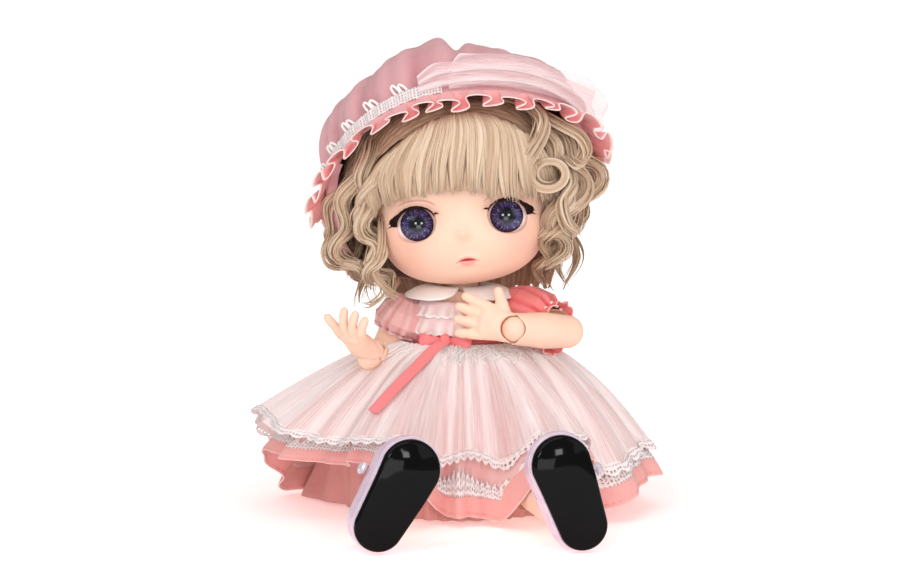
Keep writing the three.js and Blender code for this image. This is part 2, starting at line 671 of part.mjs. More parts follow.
// How far the skirt is lifted where it lies over a leg, from 0 to 1, at an angle from straight ahead.
function overLeg(angle) {
  const lifts = SIDES.map((name) => {
    const { knee } = joints[name];
    const away = Math.abs(THREE.MathUtils.radToDeg(angle - Math.atan2(knee.x, -knee.y)));
    return 1 - smooth((away - SKIRT_LEG.half) / SKIRT_LEG.soft);
  });
  return Math.max(...lifts);
}

// A point of the skirt: angle from straight ahead, share of the way to the hem, distance off the cloth.
function skirtPoint(angle, share, off = 0, flare = 0) {
  const waist = trunkPoint(angle, SKIRT.waist, GAP + off);
  const lift = overLeg(angle);
  const front = Math.max(0, Math.cos(angle));
  const back = Math.max(0, -Math.cos(angle));
  const flat = SKIRT.side + (SKIRT.front - SKIRT.side) * front ** 2 + (SKIRT.back - SKIRT.side) * back ** 2;
  const reach = mix(flat, SKIRT_LEG.reach, lift) + flare * Math.max(0, -Math.sin(angle)) * share;
  const start = Math.hypot(waist.x, waist.y);
  const fold = SKIRT.fold * Math.cos(SKIRT.folds * angle) * share * (1 - 0.55 * lift);
  const radius = mix(start, reach + off, share ** mix(SKIRT_CURVE.out, SKIRT_CURVE.outOverLeg, lift)) + fold;
  const hem = mix(SKIRT.hem, SKIRT_LEG.lift, lift);
  const drop = share ** mix(SKIRT_CURVE.down, SKIRT_CURVE.downOverLeg, lift);
  const z = mix(SKIRT.waist, hem, drop) + 0.45 * off * (1 - share);
  return vec(radius * Math.sin(angle), -radius * Math.cos(angle), z);
}

// A layer of the skirt between two shares of its length, with its points closer together in front.
function skirtLayer(from, to, near, far, rows, cut, flare = 0, around = 40) {
  const layer = loft(steps(around).map((k) => {
    const even = (2 * Math.PI * k) / around - Math.PI;
    const angle = even - 0.5 * Math.sin(even);
    const shares = steps(rows + 1).map((r) => mix(from, to, r / rows));
    const outer = shares.map((share) => skirtPoint(angle, share, far, flare));
    const inner = shares.map((share) => skirtPoint(angle, share, near, flare)).reverse();
    return [...outer, ...inner];
  }), true);
  return main(layer.subtract(cut));
}

function buildRibbonTail(cut) {
  const angle = radians(RIBBON_TAIL.azimuth);
  const tail = loft(steps(9).map((k) => {
    const share = mix(RIBBON_TAIL.from, RIBBON_TAIL.to, k / 8);
    const near = OVERLAY.clear + OVERLAY.thickness + 2 * GAP + SKIRT.fold * share;
    const centre = skirtPoint(angle, share, near, OVERLAY.flare);
    const half = vec(Math.cos(angle), Math.sin(angle), 0).multiplyScalar(0.5 * RIBBON_TAIL.width);
    const out = vec(Math.sin(angle), -Math.cos(angle), 0.8).setLength(RIBBON_TAIL.thickness);
    const [a, b] = [centre.clone().sub(half), centre.clone().add(half)];
    return [a, b, b.clone().add(out), a.clone().add(out)];
  }));
  return main(tail.subtract(cut));
}

// Head, in its own frame: the middle of the head's widest level is the origin

const headTurn = new THREE.Matrix4()
  .makeRotationY(radians(HEAD_ROLL))
  .multiply(new THREE.Matrix4().makeRotationX(radians(HEAD_NOD)));
const headPivot = vec(0, HEAD_PIVOT.y, HEAD_PIVOT.z);
const headFrame = new THREE.Matrix4()
  .makeTranslation(neckTop.x, neckTop.y, neckTop.z)
  .multiply(headTurn)
  .multiply(new THREE.Matrix4().makeTranslation(-headPivot.x, -headPivot.y, -headPivot.z));
const toHead = headFrame.clone().invert();

// A point this far outside the head, in a direction from its middle, with the nose if asked.
function headPoint(around, above, off = 0, nose = 0) {
  const way = aim([around, above]);
  const tall = way.z > 0 ? HEAD.crown : HEAD.chin;
  const sum = [way.x / HEAD.width, way.y / HEAD.depth, way.z / tall]
    .reduce((total, part) => total + Math.abs(part) ** HEAD_FULLNESS, 0);
  const point = way.clone().multiplyScalar(sum ** (-1 / HEAD_FULLNESS));
  const fromNose = Math.hypot(point.x, point.z - NOSE.height) / NOSE.spread;
  const near = way.y < 0 ? Math.exp(-(fromNose ** 2)) : 0;
  return point.addScaledVector(way, off + nose * NOSE.reach * near);
}

// The head's form, grown or shrunk all round.
function headForm(off, nose = 0, around = 20, rows = 11) {
  const loops = steps(rows - 1).map((r) => {
    const above = -90 + (180 * (r + 1)) / rows;
    return steps(around).map((k) => headPoint((360 * k) / around, above, off, nose));
  });
  return loft(loops);
}

// A patch of hair or cap over the head between two directions, from one distance off it to another.
function headPatch([from, to], low, high, near, far, count, rows) {
  return loft(steps(count + 1).map((k) => {
    const around = mix(from, to, k / count);
    const heights = steps(rows + 1).map((r) => mix(low(around), high, r / rows));
    const outer = heights.map((above, r) => headPoint(around, above, far(around, r / rows)));
    const inner = heights.map((above) => headPoint(around, above, near)).reverse();
    return [...outer, ...inner];
  }));
}

// The middle of an eyeball and the way that it looks.
function eyeAt(side) {
  const around = THREE.MathUtils.radToDeg(Math.atan2(side * EYE.x, HEAD.depth - 3));
  const above = THREE.MathUtils.radToDeg(Math.atan2(EYE.z, HEAD.depth));
  const way = aim([side * EYE.turn, 0]);
  const centre = headPoint(around, above, -EYE.recess).addScaledVector(way, -EYE.radius);
  return { centre, way };
}

// The frame that carries +Y to the way an eye looks and keeps +Z up.
function eyeFrame(side) {
  const { centre, way } = eyeAt(side);
  const across = way.clone().cross(Z_AXIS).normalize();
  return new THREE.Matrix4().makeBasis(across, way, across.clone().cross(way)).setPosition(centre);
}

// The lid opening as a prism that runs out of the face.
function eyeOpening(side) {
  const oval = steps(14).map((k) => {
    const a = (2 * Math.PI * k) / 14;
    return [0.5 * EYE_OPENING.width * Math.cos(a), 0.5 * EYE_OPENING.height * Math.sin(a)];
  });
  const prism = loft([0, 3 * EYE.radius].map((y) => oval.map(([x, z]) => vec(x, y, z))));
  return moved(prism, eyeFrame(side));
}

function buildEye(side) {
  const { centre } = eyeAt(side);
  const frame = eyeFrame(side);
  const ball = sphere(centre, EYE.radius, 12, 7);
  const rod = (radius, from) => moved(solid(new THREE.CylinderGeometry(radius, radius, EYE.radius, 12)
    .translate(0, from + EYE.radius / 2, 0)), frame);
  const seat = 0.55 * EYE.radius;
  return {
    white: main(ball.subtract(rod(IRIS_RADIUS + GAP, seat))),
    iris: main(ball.intersect(rod(IRIS_RADIUS, seat + GAP))),
  };
}

// The lash line: a dark arch that stands on the upper edge of the lid opening.
function buildLash(side) {
  const centre = eyeAt(side).centre;
  const inner = 0.5 * EYE_OPENING.width;
  const tall = 0.5 * EYE_OPENING.height;
  const loops = steps(10).map((k) => {
    const a = radians(mix(12, 168, k / 9));
    const wing = side * Math.cos(a) > 0.5 ? LASH.reach : 0.3 * LASH.reach;
    const width = LASH.thickness * (0.5 + Math.sin(a)) + wing * 0.4;
    const spot = (extra, off) => {
      const x = centre.x + (inner + extra) * Math.cos(a);
      const z = centre.z + (tall + extra) * Math.sin(a);
      return vec(x, faceFront(x, z) - off, z);
    };
    return [spot(GAP, GAP), spot(GAP + width, GAP), spot(GAP + width, GAP + 0.7), spot(GAP, GAP + 0.7)];
  });
  return loft(loops);
}

// The depth of the front of the face at a place seen from straight ahead.
function faceFront(x, z) {
  const tall = z > 0 ? HEAD.crown : HEAD.chin;
  const rest = 1 - Math.abs(x / HEAD.width) ** HEAD_FULLNESS - Math.abs(z / tall) ** HEAD_FULLNESS;
  return -HEAD.depth * Math.max(0, rest) ** (1 / HEAD_FULLNESS);
}

function buildHead() {
  const outer = headForm(0, 1);
  const hollow = headForm(-HEAD_WALL, 0, 12, 7);
  const neckHole = solid(new THREE.CylinderGeometry(NECK_OPENING.radius, NECK_OPENING.flare, HEAD.chin, 12)
    .rotateX(Math.PI / 2).translate(0, HEAD_PIVOT.y, HEAD_PIVOT.z - HEAD.chin / 2));
  const eyes = SIDES.map((name) => {
    const side = POSTURE[name].side;
    return sphere(eyeAt(side).centre, EYE.radius + GAP).add(eyeOpening(side));
  });
  const shell = outer.subtract(hollow).subtract(neckHole).subtract(union(eyes));
  const lid = vec(0, Math.sin(radians(HEAD_CAP_PLANE.tilt)), Math.cos(radians(HEAD_CAP_PLANE.tilt)));
  const spot = vec(0, HEAD_CAP_PLANE.y, HEAD_CAP_PLANE.z);
  return {
    shell: main(shell.subtract(halfSpace(spot, lid))),
    cap: main(outer.subtract(hollow).intersect(halfSpace(spot.clone().addScaledVector(lid, GAP), lid))),
  };
}

// Mob cap

const capAxis = vec(0, Math.sin(radians(CAP.lean)), Math.cos(radians(CAP.lean)));
const capDown = vec(0, Math.cos(radians(CAP.lean)), -Math.sin(radians(CAP.lean)));
const capCentre = vec(0, CAP.y, CAP.z);

// A point round the cap: angle from the front, share of the band's radius, distance off it, and height.
function capPoint(angle, share, off, height) {
  return capCentre.clone()
    .addScaledVector(X_AXIS, (CAP.width * share + off) * Math.sin(angle))
    .addScaledVector(capDown, -(CAP.depth * share + off) * Math.cos(angle))
    .addScaledVector(capAxis, height);
}

// The gathered crown from band to top, at a distance outside the cloth.
function crownPoint(angle, share, off) {
  const a = (Math.PI / 2) * share;
  const pleat = 0.022 * Math.cos(CAP_PLEATS * angle) * Math.sin(2 * a);
  const wide = Math.cos(a) ** 0.75 * (1 + CAP_PUFF * Math.sin(2 * a) + pleat);
  return capPoint(angle, wide, off * Math.cos(a), CAP.height * Math.sin(a) ** 0.9 + off * Math.sin(a));
}

function ring(count, section) {
  return loft(steps(count).map((k) => section((2 * Math.PI * k) / count)), true);
}

function buildCap() {
  const crown = ring(30, (angle) => {
    const shares = steps(6).map((r) => r / 5);
    const outer = shares.map((share) => crownPoint(angle, share, 0));
    const inner = shares.map((share) => crownPoint(angle, share, -CLOTH)).reverse();
    return [...outer, ...inner];
  });
  const bandTop = -GAP;
  const bandFoot = bandTop - CAP_BAND.height;
  const band = ring(25, (angle) => [
    capPoint(angle, 1, 0.4 * CAP_BAND.thickness, bandTop),
    capPoint(angle, 1, 0.4 * CAP_BAND.thickness, bandFoot),
    capPoint(angle, 1, -0.6 * CAP_BAND.thickness, bandFoot),
    capPoint(angle, 1, -0.6 * CAP_BAND.thickness, bandTop),
  ]);
  const frillTop = bandFoot - GAP;
  const frill = ring(4 * RUFFLE.waves, (angle) => {
    const wave = RUFFLE.depth * Math.sin(RUFFLE.waves * angle);
    const at = (share, side) => capPoint(angle, 1,
      RUFFLE.flare * share ** 1.4 + wave * share + side * RUFFLE.thickness, frillTop - RUFFLE.length * share);
    return [at(0, 0.5), at(1, 0.5), at(1, -0.5), at(0, -0.5)];
  });
  const sewn = 0.4 * CAP_BAND.thickness + GAP;
  const ribbon = loft(steps(13).map((k) => {
    const angle = radians(mix(CAP_RIBBON.from, CAP_RIBBON.to, k / 12));
    const full = Math.sin((Math.PI * k) / 12) ** 0.5;
    const free = CAP_RIBBON.clear + CAP_RIBBON.ripple * Math.sin(7 * angle);
    const edge = (off, height) => [0, CAP_RIBBON.thickness].map((out) => capPoint(angle, 1, off + out, height));
    const [innerTop, outerTop] = edge(free, CAP_RIBBON.rise * full + 1);
    const [innerFoot, outerFoot] = edge(sewn, bandTop - CAP_RIBBON.drop * full);
    return [outerTop, outerFoot, innerFoot, innerTop];
  }));
  return { crown, band, frill, ribbon };
}

// Everything that lies outside the inner face of the cap and its frill.
function outsideCap() {
  const low = -GAP - CAP_BAND.height - GAP - RUFFLE.length;
  const inset = 0.6 * CAP_BAND.thickness + GAP;
  const levels = [
    [low - 2, RUFFLE.flare - RUFFLE.depth - RUFFLE.thickness],
    [low, RUFFLE.flare - RUFFLE.depth - RUFFLE.thickness],
    [-GAP - CAP_BAND.height - GAP, -inset - GAP],
  ];
  const around = steps(32).map((k) => (2 * Math.PI * k) / 32);
  const skirtLoops = levels.map(([height, off]) => around.map((a) => capPoint(a, 1, off, height)));
  const lining = -CLOTH - GAP - 0.8;
  const crownLoops = steps(5).map((r) => around.map((a) => crownPoint(a, (r / 5) * 0.98, lining)));
  const inside = loft([...skirtLoops, ...crownLoops]);
  const foot = capCentre.clone().addScaledVector(capAxis, low - GAP);
  return halfSpace(foot, capAxis).subtract(inside);
}

// A wavy tapering lock that hangs from one point to another.
function lock(from, to, phase) {
  const way = to.clone().sub(from);
  const out = vec(from.x, from.y, 0).normalize();
  const across = out.clone().cross(way).normalize();
  return loft(steps(LOCK.steps + 1).map((k) => {
    const share = k / LOCK.steps;
    const swing = LOCK.wave * Math.sin(Math.PI * Math.min(1, 2 * share));
    const a = 2 * Math.PI * (LOCK.turns * share + phase);
    const centre = from.clone().addScaledVector(way, share)
      .addScaledVector(out, swing * Math.cos(a) + LOCK_BULGE * Math.sin(Math.PI * share))
      .addScaledVector(across, swing * Math.sin(a));
    const radius = mix(LOCK.radius, LOCK.tip, smooth(share));
    return steps(LOCK.sides).map((s) => {
      const b = (2 * Math.PI * s) / LOCK.sides;
      return centre.clone()
        .addScaledVector(out, radius * Math.cos(b))
        .addScaledVector(across, radius * Math.sin(b));
    });
  }));
}

function buildHair(clearOf) {
  const root = WIG_CAP + 7 * GAP;
  const lean = radians(HAIRLINE.tilt);
  const hairline = halfSpace(vec(0, 0, HAIRLINE.z), vec(0, -Math.sin(lean), -Math.cos(lean)));
  const grid = [14, 8];
  const inner = 6 * GAP;
  const wigCap = headForm(inner + WIG_CAP, 0, ...grid)
    .subtract(headForm(inner, 0, ...grid))
    .subtract(hairline);
  const groove = (around) => 0.45 * Math.cos(radians(around) * FRINGE.grooves * 2);
  const fringeEdge = (around) =>
    FRINGE.low + 5 * (around / FRINGE.half) ** 2 + 1.5 * Math.cos(radians(around) * 9);
  const fringe = headPatch([-FRINGE.half, FRINGE.half], fringeEdge, FRINGE.high, 0,
    (around, up) => root + mix(0.7, 1, up) * FRINGE.thickness + groove(around), 16, 2);
  const hairGroove = (around) => HAIR_GROOVE * Math.cos(radians(around) * HAIR_GROOVES);
  const sideRange = (side) => [side * SIDE_HAIR.from, side * SIDE_HAIR.to];
  const sideHair = (side) => {
    const mass = headPatch(sideRange(side), () => SIDE_HAIR.low, SIDE_HAIR.high, 0,
      (around, up) => root + SIDE_HAIR.thickness * mix(0.75, 1, up) + hairGroove(around), 7, 3);
    const locks = steps(LOCK.count).map((k) => {
      const share = k / (LOCK.count - 1);
      const around = side * mix(SIDE_HAIR.from + 4, SIDE_HAIR.to - 4, share);
      const start = headPoint(around, 6, root + 0.55 * SIDE_HAIR.thickness);
      const end = headPoint(around, -20, root + SIDE_HAIR.thickness).setZ(LOCK_END + 4 * Math.sin(5 * share));
      return lock(start, end, share);
    });
    return union([mass, ...locks]);
  };
  const backRange = [SIDE_HAIR.to + 2 * GAP, 360 - SIDE_HAIR.to - 2 * GAP];
  const backHair = headPatch(backRange, () => BACK_HAIR.low, BACK_HAIR.high, 0,
    (around, up) => root + BACK_HAIR.thickness * mix(0.8, 1, up) + hairGroove(around), 12, 3);
  const skull = headForm(root, 0, ...grid);
  const sideLimit = (side) => union([side * SIDE_HAIR.from, side * SIDE_HAIR.to].map((around, k) =>
    halfSpace(vec(0, 0, 0), aim([around + side * (k ? 90.3 : -90.3), 0]))));
  const trim = (made) => main(made.subtract(clearOf));
  return {
    wigCap: trim(wigCap),
    fringe: trim(fringe.subtract(skull)),
    right: trim(sideHair(-1).subtract(skull).subtract(sideLimit(-1))),
    left: trim(sideHair(1).subtract(skull).subtract(sideLimit(1))),
    back: trim(backHair.subtract(skull)),
  };
}

// Neck: a pin with a ball at each end, and the hook that the elastic pulls into the head

function buildNeck() {
  const length = neckFoot.distanceTo(neckTop);
  const waist = Math.acos(NECK_RADIUS / NECK_BALL_RADIUS);
  const arc = (middle, first, last) => steps(4).map((k) => {
    const a = mix(first, last, k / 3);
    return new THREE.Vector2(NECK_BALL_RADIUS * Math.cos(a), middle + NECK_BALL_RADIUS * Math.sin(a));
  });
  const profile = [...arc(0, -Math.PI / 2, waist), ...arc(length, -waist, Math.PI / 2)];
  profile[0].x = 0;
  profile.at(-1).x = 0;
  const pin = solid(new THREE.LatheGeometry(profile, LIMB_SIDES).applyMatrix4(along(neckFoot, neckTop)));
  return main(pin.subtract(legChannel));
}

// The steel bar across the top of the neck that the elastic loops over.
function buildHook() {
  const bar = [-1, 1].map((end) => neckTop.clone().add(vec(0, end * HOOK.bar, hookHeight)));
  return tube(bar, HOOK.wire, 1);
}

// Assembly

const doll = new THREE.Group();
const head = new THREE.Group();
head.matrixAutoUpdate = false;
head.matrix.copy(headFrame);
doll.add(head);

const limbs = Object.fromEntries(SIDES.map((name) => [name, buildLimbs(name)]));
const feet = Object.fromEntries(SIDES.map((name) => [name, buildFoot(name)]));
const neck = buildNeck();
const shoulderSockets = union(SIDES.map((name) => {
  const { shoulder, elbow } = joints[name];
  return sphere(shoulder, SHOULDER_BALL_RADIUS + SOCKET_GAP).add(limb(shoulder, elbow, UPPER_ARM, GAP));
}));
const neckSocket = sphere(neckFoot, NECK_BALL_RADIUS + SOCKET_GAP)
  .add(limb(neckFoot, neckTop, { start: NECK_RADIUS, belly: NECK_RADIUS, end: NECK_RADIUS }, NECK_CLEARANCE));
const hollow = trunkForm(HIP.z + TRUNK_WALL, CHEST.z + TRUNK_WALL, -TRUNK_WALL, 3, TRUNK_SIDES / 2);
const trunk = main(trunkForm(SEAT.z, NECK_BASE.z, 0)
  .subtract(hollow)
  .subtract(union(SIDES.map((name) => limbs[name].legOpening)))
  .subtract(shoulderSockets)
  .subtract(neckSocket)
  .subtract(armChannel)
  .subtract(legChannel));

const armholes = union(SIDES.map((name) => sphere(joints[name].shoulder, ARMHOLE_RADIUS, 10, 6)));
const bodice = buildBodice(armholes);
const legsGrown = union(SIDES.map((name) => {
  const { hip, knee, ankle } = joints[name];
  return limb(hip, knee, THIGH, 2 * GAP).add(limb(knee, ankle, SHIN, 2 * GAP));
}));
const armsGrown = union(SIDES.map((name) => {
  const { shoulder, elbow, wrist } = joints[name];
  return limb(shoulder, elbow, UPPER_ARM, GAP).add(limb(elbow, wrist, FOREARM, GAP));
}));
const trunkGrown = trunkForm(SEAT.z, WAIST.z + 2, GAP, 12);
// A thin solid thickened by the gap, as the sum of its shifted copies.
const thickened = (made) => union([X_AXIS, Y_AXIS, Z_AXIS].flatMap((axis) => [GAP, -GAP].map((by) =>
  made.translate(axis.clone().multiplyScalar(by).toArray()))));
const bow = buildBow();
const sash = buildSash();
const sashGrown = trunkForm(SASH.low - GAP, SASH.high + GAP, SASH.thickness + 2 * GAP, 4);
const hemStart = 1 - HEM_BAND / SKIRT.side;
const hemGap = GAP / SKIRT.side;
const collarCut = trunkForm(BODICE.low, NECK_BASE.z, 2 * GAP, 6)
  .add(trunkForm(BODICE.low, BODICE.high + GAP, bodiceFace + GAP, 4))
  .add(union(SIDES.map((name) => sphere(joints[name].shoulder, SHOULDER_BALL_RADIUS + SOCKET_GAP))));
const collars = Object.fromEntries(SIDES.map((name) => [name,
  main(buildCollar(POSTURE[name].side).subtract(collarCut))]));
const sleeveCut = trunkForm(BELLY.z, NECK_BASE.z, bodiceFace + 2 * GAP, 8)
  .add(sashGrown)
  .add(thickened(union([...Object.values(collars), bow])))
  .add(union(SIDES.map((name) => limb(joints[name].elbow, joints[name].wrist, FOREARM, GAP))));
const sleeves = Object.fromEntries(SIDES.map((name) => [name, main(buildSleeve(name).subtract(sleeveCut))]));

const hands = Object.fromEntries(SIDES.map((name) => [name, buildHand(name)]));
const nearSkirt = union([bow, hands.left, sleeves.left, sleeves.right]);
const dressCut = legsGrown.add(armsGrown).add(trunkGrown).add(sashGrown).add(thickened(nearSkirt));

const cap = buildCap();
const shoulderCloth = union([...Object.values(collars), ...Object.values(sleeves), bodice]);
const nearHair = moved(thickened(shoulderCloth), toHead);
const hair = buildHair(outsideCap().add(nearHair));
const headPieces = buildHead();

doll.add(
  piece("torso", trunk, SKIN),
  piece("neck", neck, SKIN),
  piece("neck_hook", buildHook(), STEEL),
  piece("bodice", bodice, PINK_CLOTH),
  piece("bib", main(buildBib().subtract(armholes)), WHITE_CLOTH),
  piece("sash", sash, CORAL_CLOTH),
  piece("bow", bow, CORAL_CLOTH),
  piece("ribbon_tail", buildRibbonTail(dressCut), CORAL_CLOTH),
  piece("skirt", skirtLayer(0, hemStart - hemGap, 0, CLOTH, 3, dressCut), PINK_CLOTH),
  piece("hem_band", skirtLayer(hemStart, 1, -0.2, CLOTH + 0.2, 1, dressCut), ROSE_CLOTH),
  piece("overlay", skirtLayer(0.04, OVERLAY.end, OVERLAY.clear, OVERLAY.clear + OVERLAY.thickness, 3,
    dressCut, OVERLAY.flare), PALE_CLOTH),
  piece("arm_elastic", armElastic, ELASTIC),
  piece("leg_elastic", legElastic, ELASTIC),
);
SIDES.forEach((name) => {
  const made = limbs[name];
  doll.add(
    piece(`collar_${name}`, collars[name], WHITE_CLOTH),
    piece(`sleeve_${name}`, sleeves[name], CORAL_CLOTH),
    piece(`shoulder_ball_${name}`, made.shoulderBall, SKIN),
    piece(`upper_arm_${name}`, made.upperArm, SKIN),
    piece(`forearm_${name}`, made.forearm, SKIN),
    piece(`wrist_ball_${name}`, made.wristBall, SKIN),
    piece(`hand_${name}`, hands[name], SKIN),
    piece(`hip_ball_${name}`, made.hipBall, SKIN),
    piece(`thigh_${name}`, made.thigh, SKIN),
    piece(`shin_${name}`, made.shin, SKIN),
    piece(`foot_${name}`, feet[name].foot, SKIN),
    piece(`shoe_upper_${name}`, feet[name].shoeUpper, LILAC_LEATHER),
    piece(`shoe_sole_${name}`, feet[name].shoeSole, BLACK_RUBBER),
    piece(`shoe_strap_${name}`, feet[name].shoeStrap, LILAC_LEATHER),
    piece(`shoe_ornament_${name}`, feet[name].shoeOrnament, CRYSTAL),
  );
  const eye = buildEye(POSTURE[name].side);
  head.add(
    piece(`eye_${name}`, eye.white, EYE_WHITE),
    piece(`iris_${name}`, eye.iris, IRIS),
    piece(`lash_${name}`, buildLash(POSTURE[name].side), LASH_INK),
    piece(`hair_${name}`, hair[name], HAIR),
  );
});
head.add(
  piece("head_shell", headPieces.shell, SKIN),
  piece("head_cap", headPieces.cap, SKIN),
  piece("wig_cap", hair.wigCap, HAIR),
  piece("fringe", hair.fringe, HAIR),
  piece("hair_back", hair.back, HAIR),
  piece("cap_crown", cap.crown, ROSE_CLOTH),
  piece("cap_band", cap.band, WHITE_CLOTH),
  piece("cap_ruffle", cap.frill, PINK_CLOTH),
  piece("cap_ribbon", cap.ribbon, PALE_CLOTH),
);

export default doll;
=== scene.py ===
"""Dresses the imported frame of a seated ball-jointed doll: skin, eyes, wig, cap, dress and shoes."""

import json
import logging
import math
from dataclasses import dataclass, field
from enum import Enum
from functools import cache, partialmethod
from typing import Any, Sequence, Union

import bmesh
import bpy
import numpy as np
from mathutils import Matrix
from numpy import clip, cos, hypot, linspace, pi, radians, sin
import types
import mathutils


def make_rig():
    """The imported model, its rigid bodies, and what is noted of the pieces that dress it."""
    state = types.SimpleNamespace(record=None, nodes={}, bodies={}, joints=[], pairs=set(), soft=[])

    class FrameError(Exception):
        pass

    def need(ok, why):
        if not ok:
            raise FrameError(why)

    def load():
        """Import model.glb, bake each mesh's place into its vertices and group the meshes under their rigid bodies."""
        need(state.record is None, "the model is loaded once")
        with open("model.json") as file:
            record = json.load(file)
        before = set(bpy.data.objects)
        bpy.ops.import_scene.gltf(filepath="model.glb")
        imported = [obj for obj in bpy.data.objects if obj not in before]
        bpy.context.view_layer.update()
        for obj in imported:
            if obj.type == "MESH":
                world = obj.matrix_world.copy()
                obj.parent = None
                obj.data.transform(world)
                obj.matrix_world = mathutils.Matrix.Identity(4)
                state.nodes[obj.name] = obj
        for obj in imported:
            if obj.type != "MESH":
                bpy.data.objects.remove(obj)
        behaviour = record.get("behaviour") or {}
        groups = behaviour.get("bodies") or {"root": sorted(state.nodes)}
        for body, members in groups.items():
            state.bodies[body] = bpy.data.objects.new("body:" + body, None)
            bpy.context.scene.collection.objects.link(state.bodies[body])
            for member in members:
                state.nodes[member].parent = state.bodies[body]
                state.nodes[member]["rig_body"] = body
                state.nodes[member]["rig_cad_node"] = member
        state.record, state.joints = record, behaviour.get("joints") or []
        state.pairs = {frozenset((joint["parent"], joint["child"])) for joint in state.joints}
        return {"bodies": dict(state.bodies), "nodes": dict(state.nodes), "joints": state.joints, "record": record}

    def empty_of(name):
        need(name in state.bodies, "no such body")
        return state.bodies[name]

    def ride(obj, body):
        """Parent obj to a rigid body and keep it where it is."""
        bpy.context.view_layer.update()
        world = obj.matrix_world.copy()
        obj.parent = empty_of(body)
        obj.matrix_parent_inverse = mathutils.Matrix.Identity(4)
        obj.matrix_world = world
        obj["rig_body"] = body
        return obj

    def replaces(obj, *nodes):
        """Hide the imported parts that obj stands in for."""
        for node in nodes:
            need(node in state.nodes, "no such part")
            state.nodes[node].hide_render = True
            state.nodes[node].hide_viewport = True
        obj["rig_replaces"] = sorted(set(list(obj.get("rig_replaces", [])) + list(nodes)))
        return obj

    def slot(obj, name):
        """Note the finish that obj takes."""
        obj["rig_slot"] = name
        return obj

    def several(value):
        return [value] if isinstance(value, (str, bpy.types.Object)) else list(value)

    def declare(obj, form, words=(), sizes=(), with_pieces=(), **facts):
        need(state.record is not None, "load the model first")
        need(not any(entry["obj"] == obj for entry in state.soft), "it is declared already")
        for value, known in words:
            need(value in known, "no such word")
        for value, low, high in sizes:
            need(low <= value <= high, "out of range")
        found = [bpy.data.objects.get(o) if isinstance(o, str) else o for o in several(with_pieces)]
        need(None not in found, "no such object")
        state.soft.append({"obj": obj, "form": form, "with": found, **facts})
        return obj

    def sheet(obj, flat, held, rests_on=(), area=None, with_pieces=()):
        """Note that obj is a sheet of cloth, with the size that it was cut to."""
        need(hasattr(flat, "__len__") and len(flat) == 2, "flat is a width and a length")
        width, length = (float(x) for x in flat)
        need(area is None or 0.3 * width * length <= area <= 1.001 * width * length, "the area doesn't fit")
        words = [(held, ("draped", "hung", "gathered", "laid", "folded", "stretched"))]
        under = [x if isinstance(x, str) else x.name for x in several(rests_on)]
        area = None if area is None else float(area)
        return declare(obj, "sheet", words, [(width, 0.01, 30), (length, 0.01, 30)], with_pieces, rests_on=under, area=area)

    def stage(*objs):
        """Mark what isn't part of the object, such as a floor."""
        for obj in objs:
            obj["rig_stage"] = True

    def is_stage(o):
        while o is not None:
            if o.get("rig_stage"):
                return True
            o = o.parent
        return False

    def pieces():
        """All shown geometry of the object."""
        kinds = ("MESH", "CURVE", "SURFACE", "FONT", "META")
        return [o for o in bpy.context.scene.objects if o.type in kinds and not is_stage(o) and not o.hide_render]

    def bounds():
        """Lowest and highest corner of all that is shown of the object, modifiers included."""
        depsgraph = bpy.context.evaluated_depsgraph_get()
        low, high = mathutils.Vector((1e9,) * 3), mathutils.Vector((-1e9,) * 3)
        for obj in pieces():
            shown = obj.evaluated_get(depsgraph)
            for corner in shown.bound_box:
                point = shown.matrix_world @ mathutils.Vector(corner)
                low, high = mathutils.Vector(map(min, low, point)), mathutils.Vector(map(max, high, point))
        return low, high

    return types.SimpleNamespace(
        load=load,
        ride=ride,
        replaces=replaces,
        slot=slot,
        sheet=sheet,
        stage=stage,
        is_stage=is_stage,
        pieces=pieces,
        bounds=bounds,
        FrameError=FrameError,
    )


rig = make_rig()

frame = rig.load()
CAD_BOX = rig.bounds()

Array = np.ndarray
Number = Union[float, Array]
Pair = tuple[float, float]
Triple = tuple[float, float, float]
Quad = tuple[float, float, float, float]
Piece = bpy.types.Object
Material = bpy.types.Material
MM = 0.001
TURN = 2 * pi
SIZE_FILE = "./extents.json"
WELD = 2e-7
NARROWEST = 0.01
UP = np.array([0.0, 0.0, 1.0])
CENTRE = np.zeros(3)
JOINTS = {joint["name"]: joint for joint in frame["joints"]}
log = logging.getLogger("doll")


class Side(Enum):
    """The doll's own right or left, with the sign of its X."""

    RIGHT = ("right", -1)
    LEFT = ("left", 1)

    @property
    def tag(self) -> str:
        """The word at the end of this side's node names."""
        return self.value[0]

    @property
    def sign(self) -> int:
        """The sign of X on this side."""
        return self.value[1]


def unit(vector: Array) -> Array:
    """Vectors of length one along the last axis."""
    return vector / np.linalg.norm(vector, axis=-1, keepdims=True)


def vec(*parts: Number) -> Array:
    """Points or directions from their parts, along a last axis."""
    return np.stack(np.broadcast_arrays(*parts), -1)


def steps(count: int) -> Array:
    """Even steps from 0 to 1."""
    return linspace(0, 1, count)


def full_turn(count: int) -> Array:
    """Angles once round, from behind over the doll's right, front and left."""
    return linspace(-pi, pi, count)


def smooth(share: Number) -> Number:
    """An S curve from 0 to 1, flat at both ends and held outside them."""
    held = clip(share, 0.0, 1.0)
    return held * held * (3.0 - 2.0 * held)


def mix(first: Number, last: Number, share: Number) -> Number:
    """The value this share of the way from first to last."""
    return first + (last - first) * share


def bell(distance: Number, spread: float) -> Number:
    """A bell curve, 1 at no distance and about a third at the spread."""
    return np.exp(-((distance / spread) ** 2))


def aim(around: Number, above: Number) -> Array:
    """Directions by degrees from straight ahead towards the doll's left and degrees above level."""
    a, e = radians(around), radians(above)
    return vec(sin(a) * cos(e), -cos(a) * cos(e), sin(e))


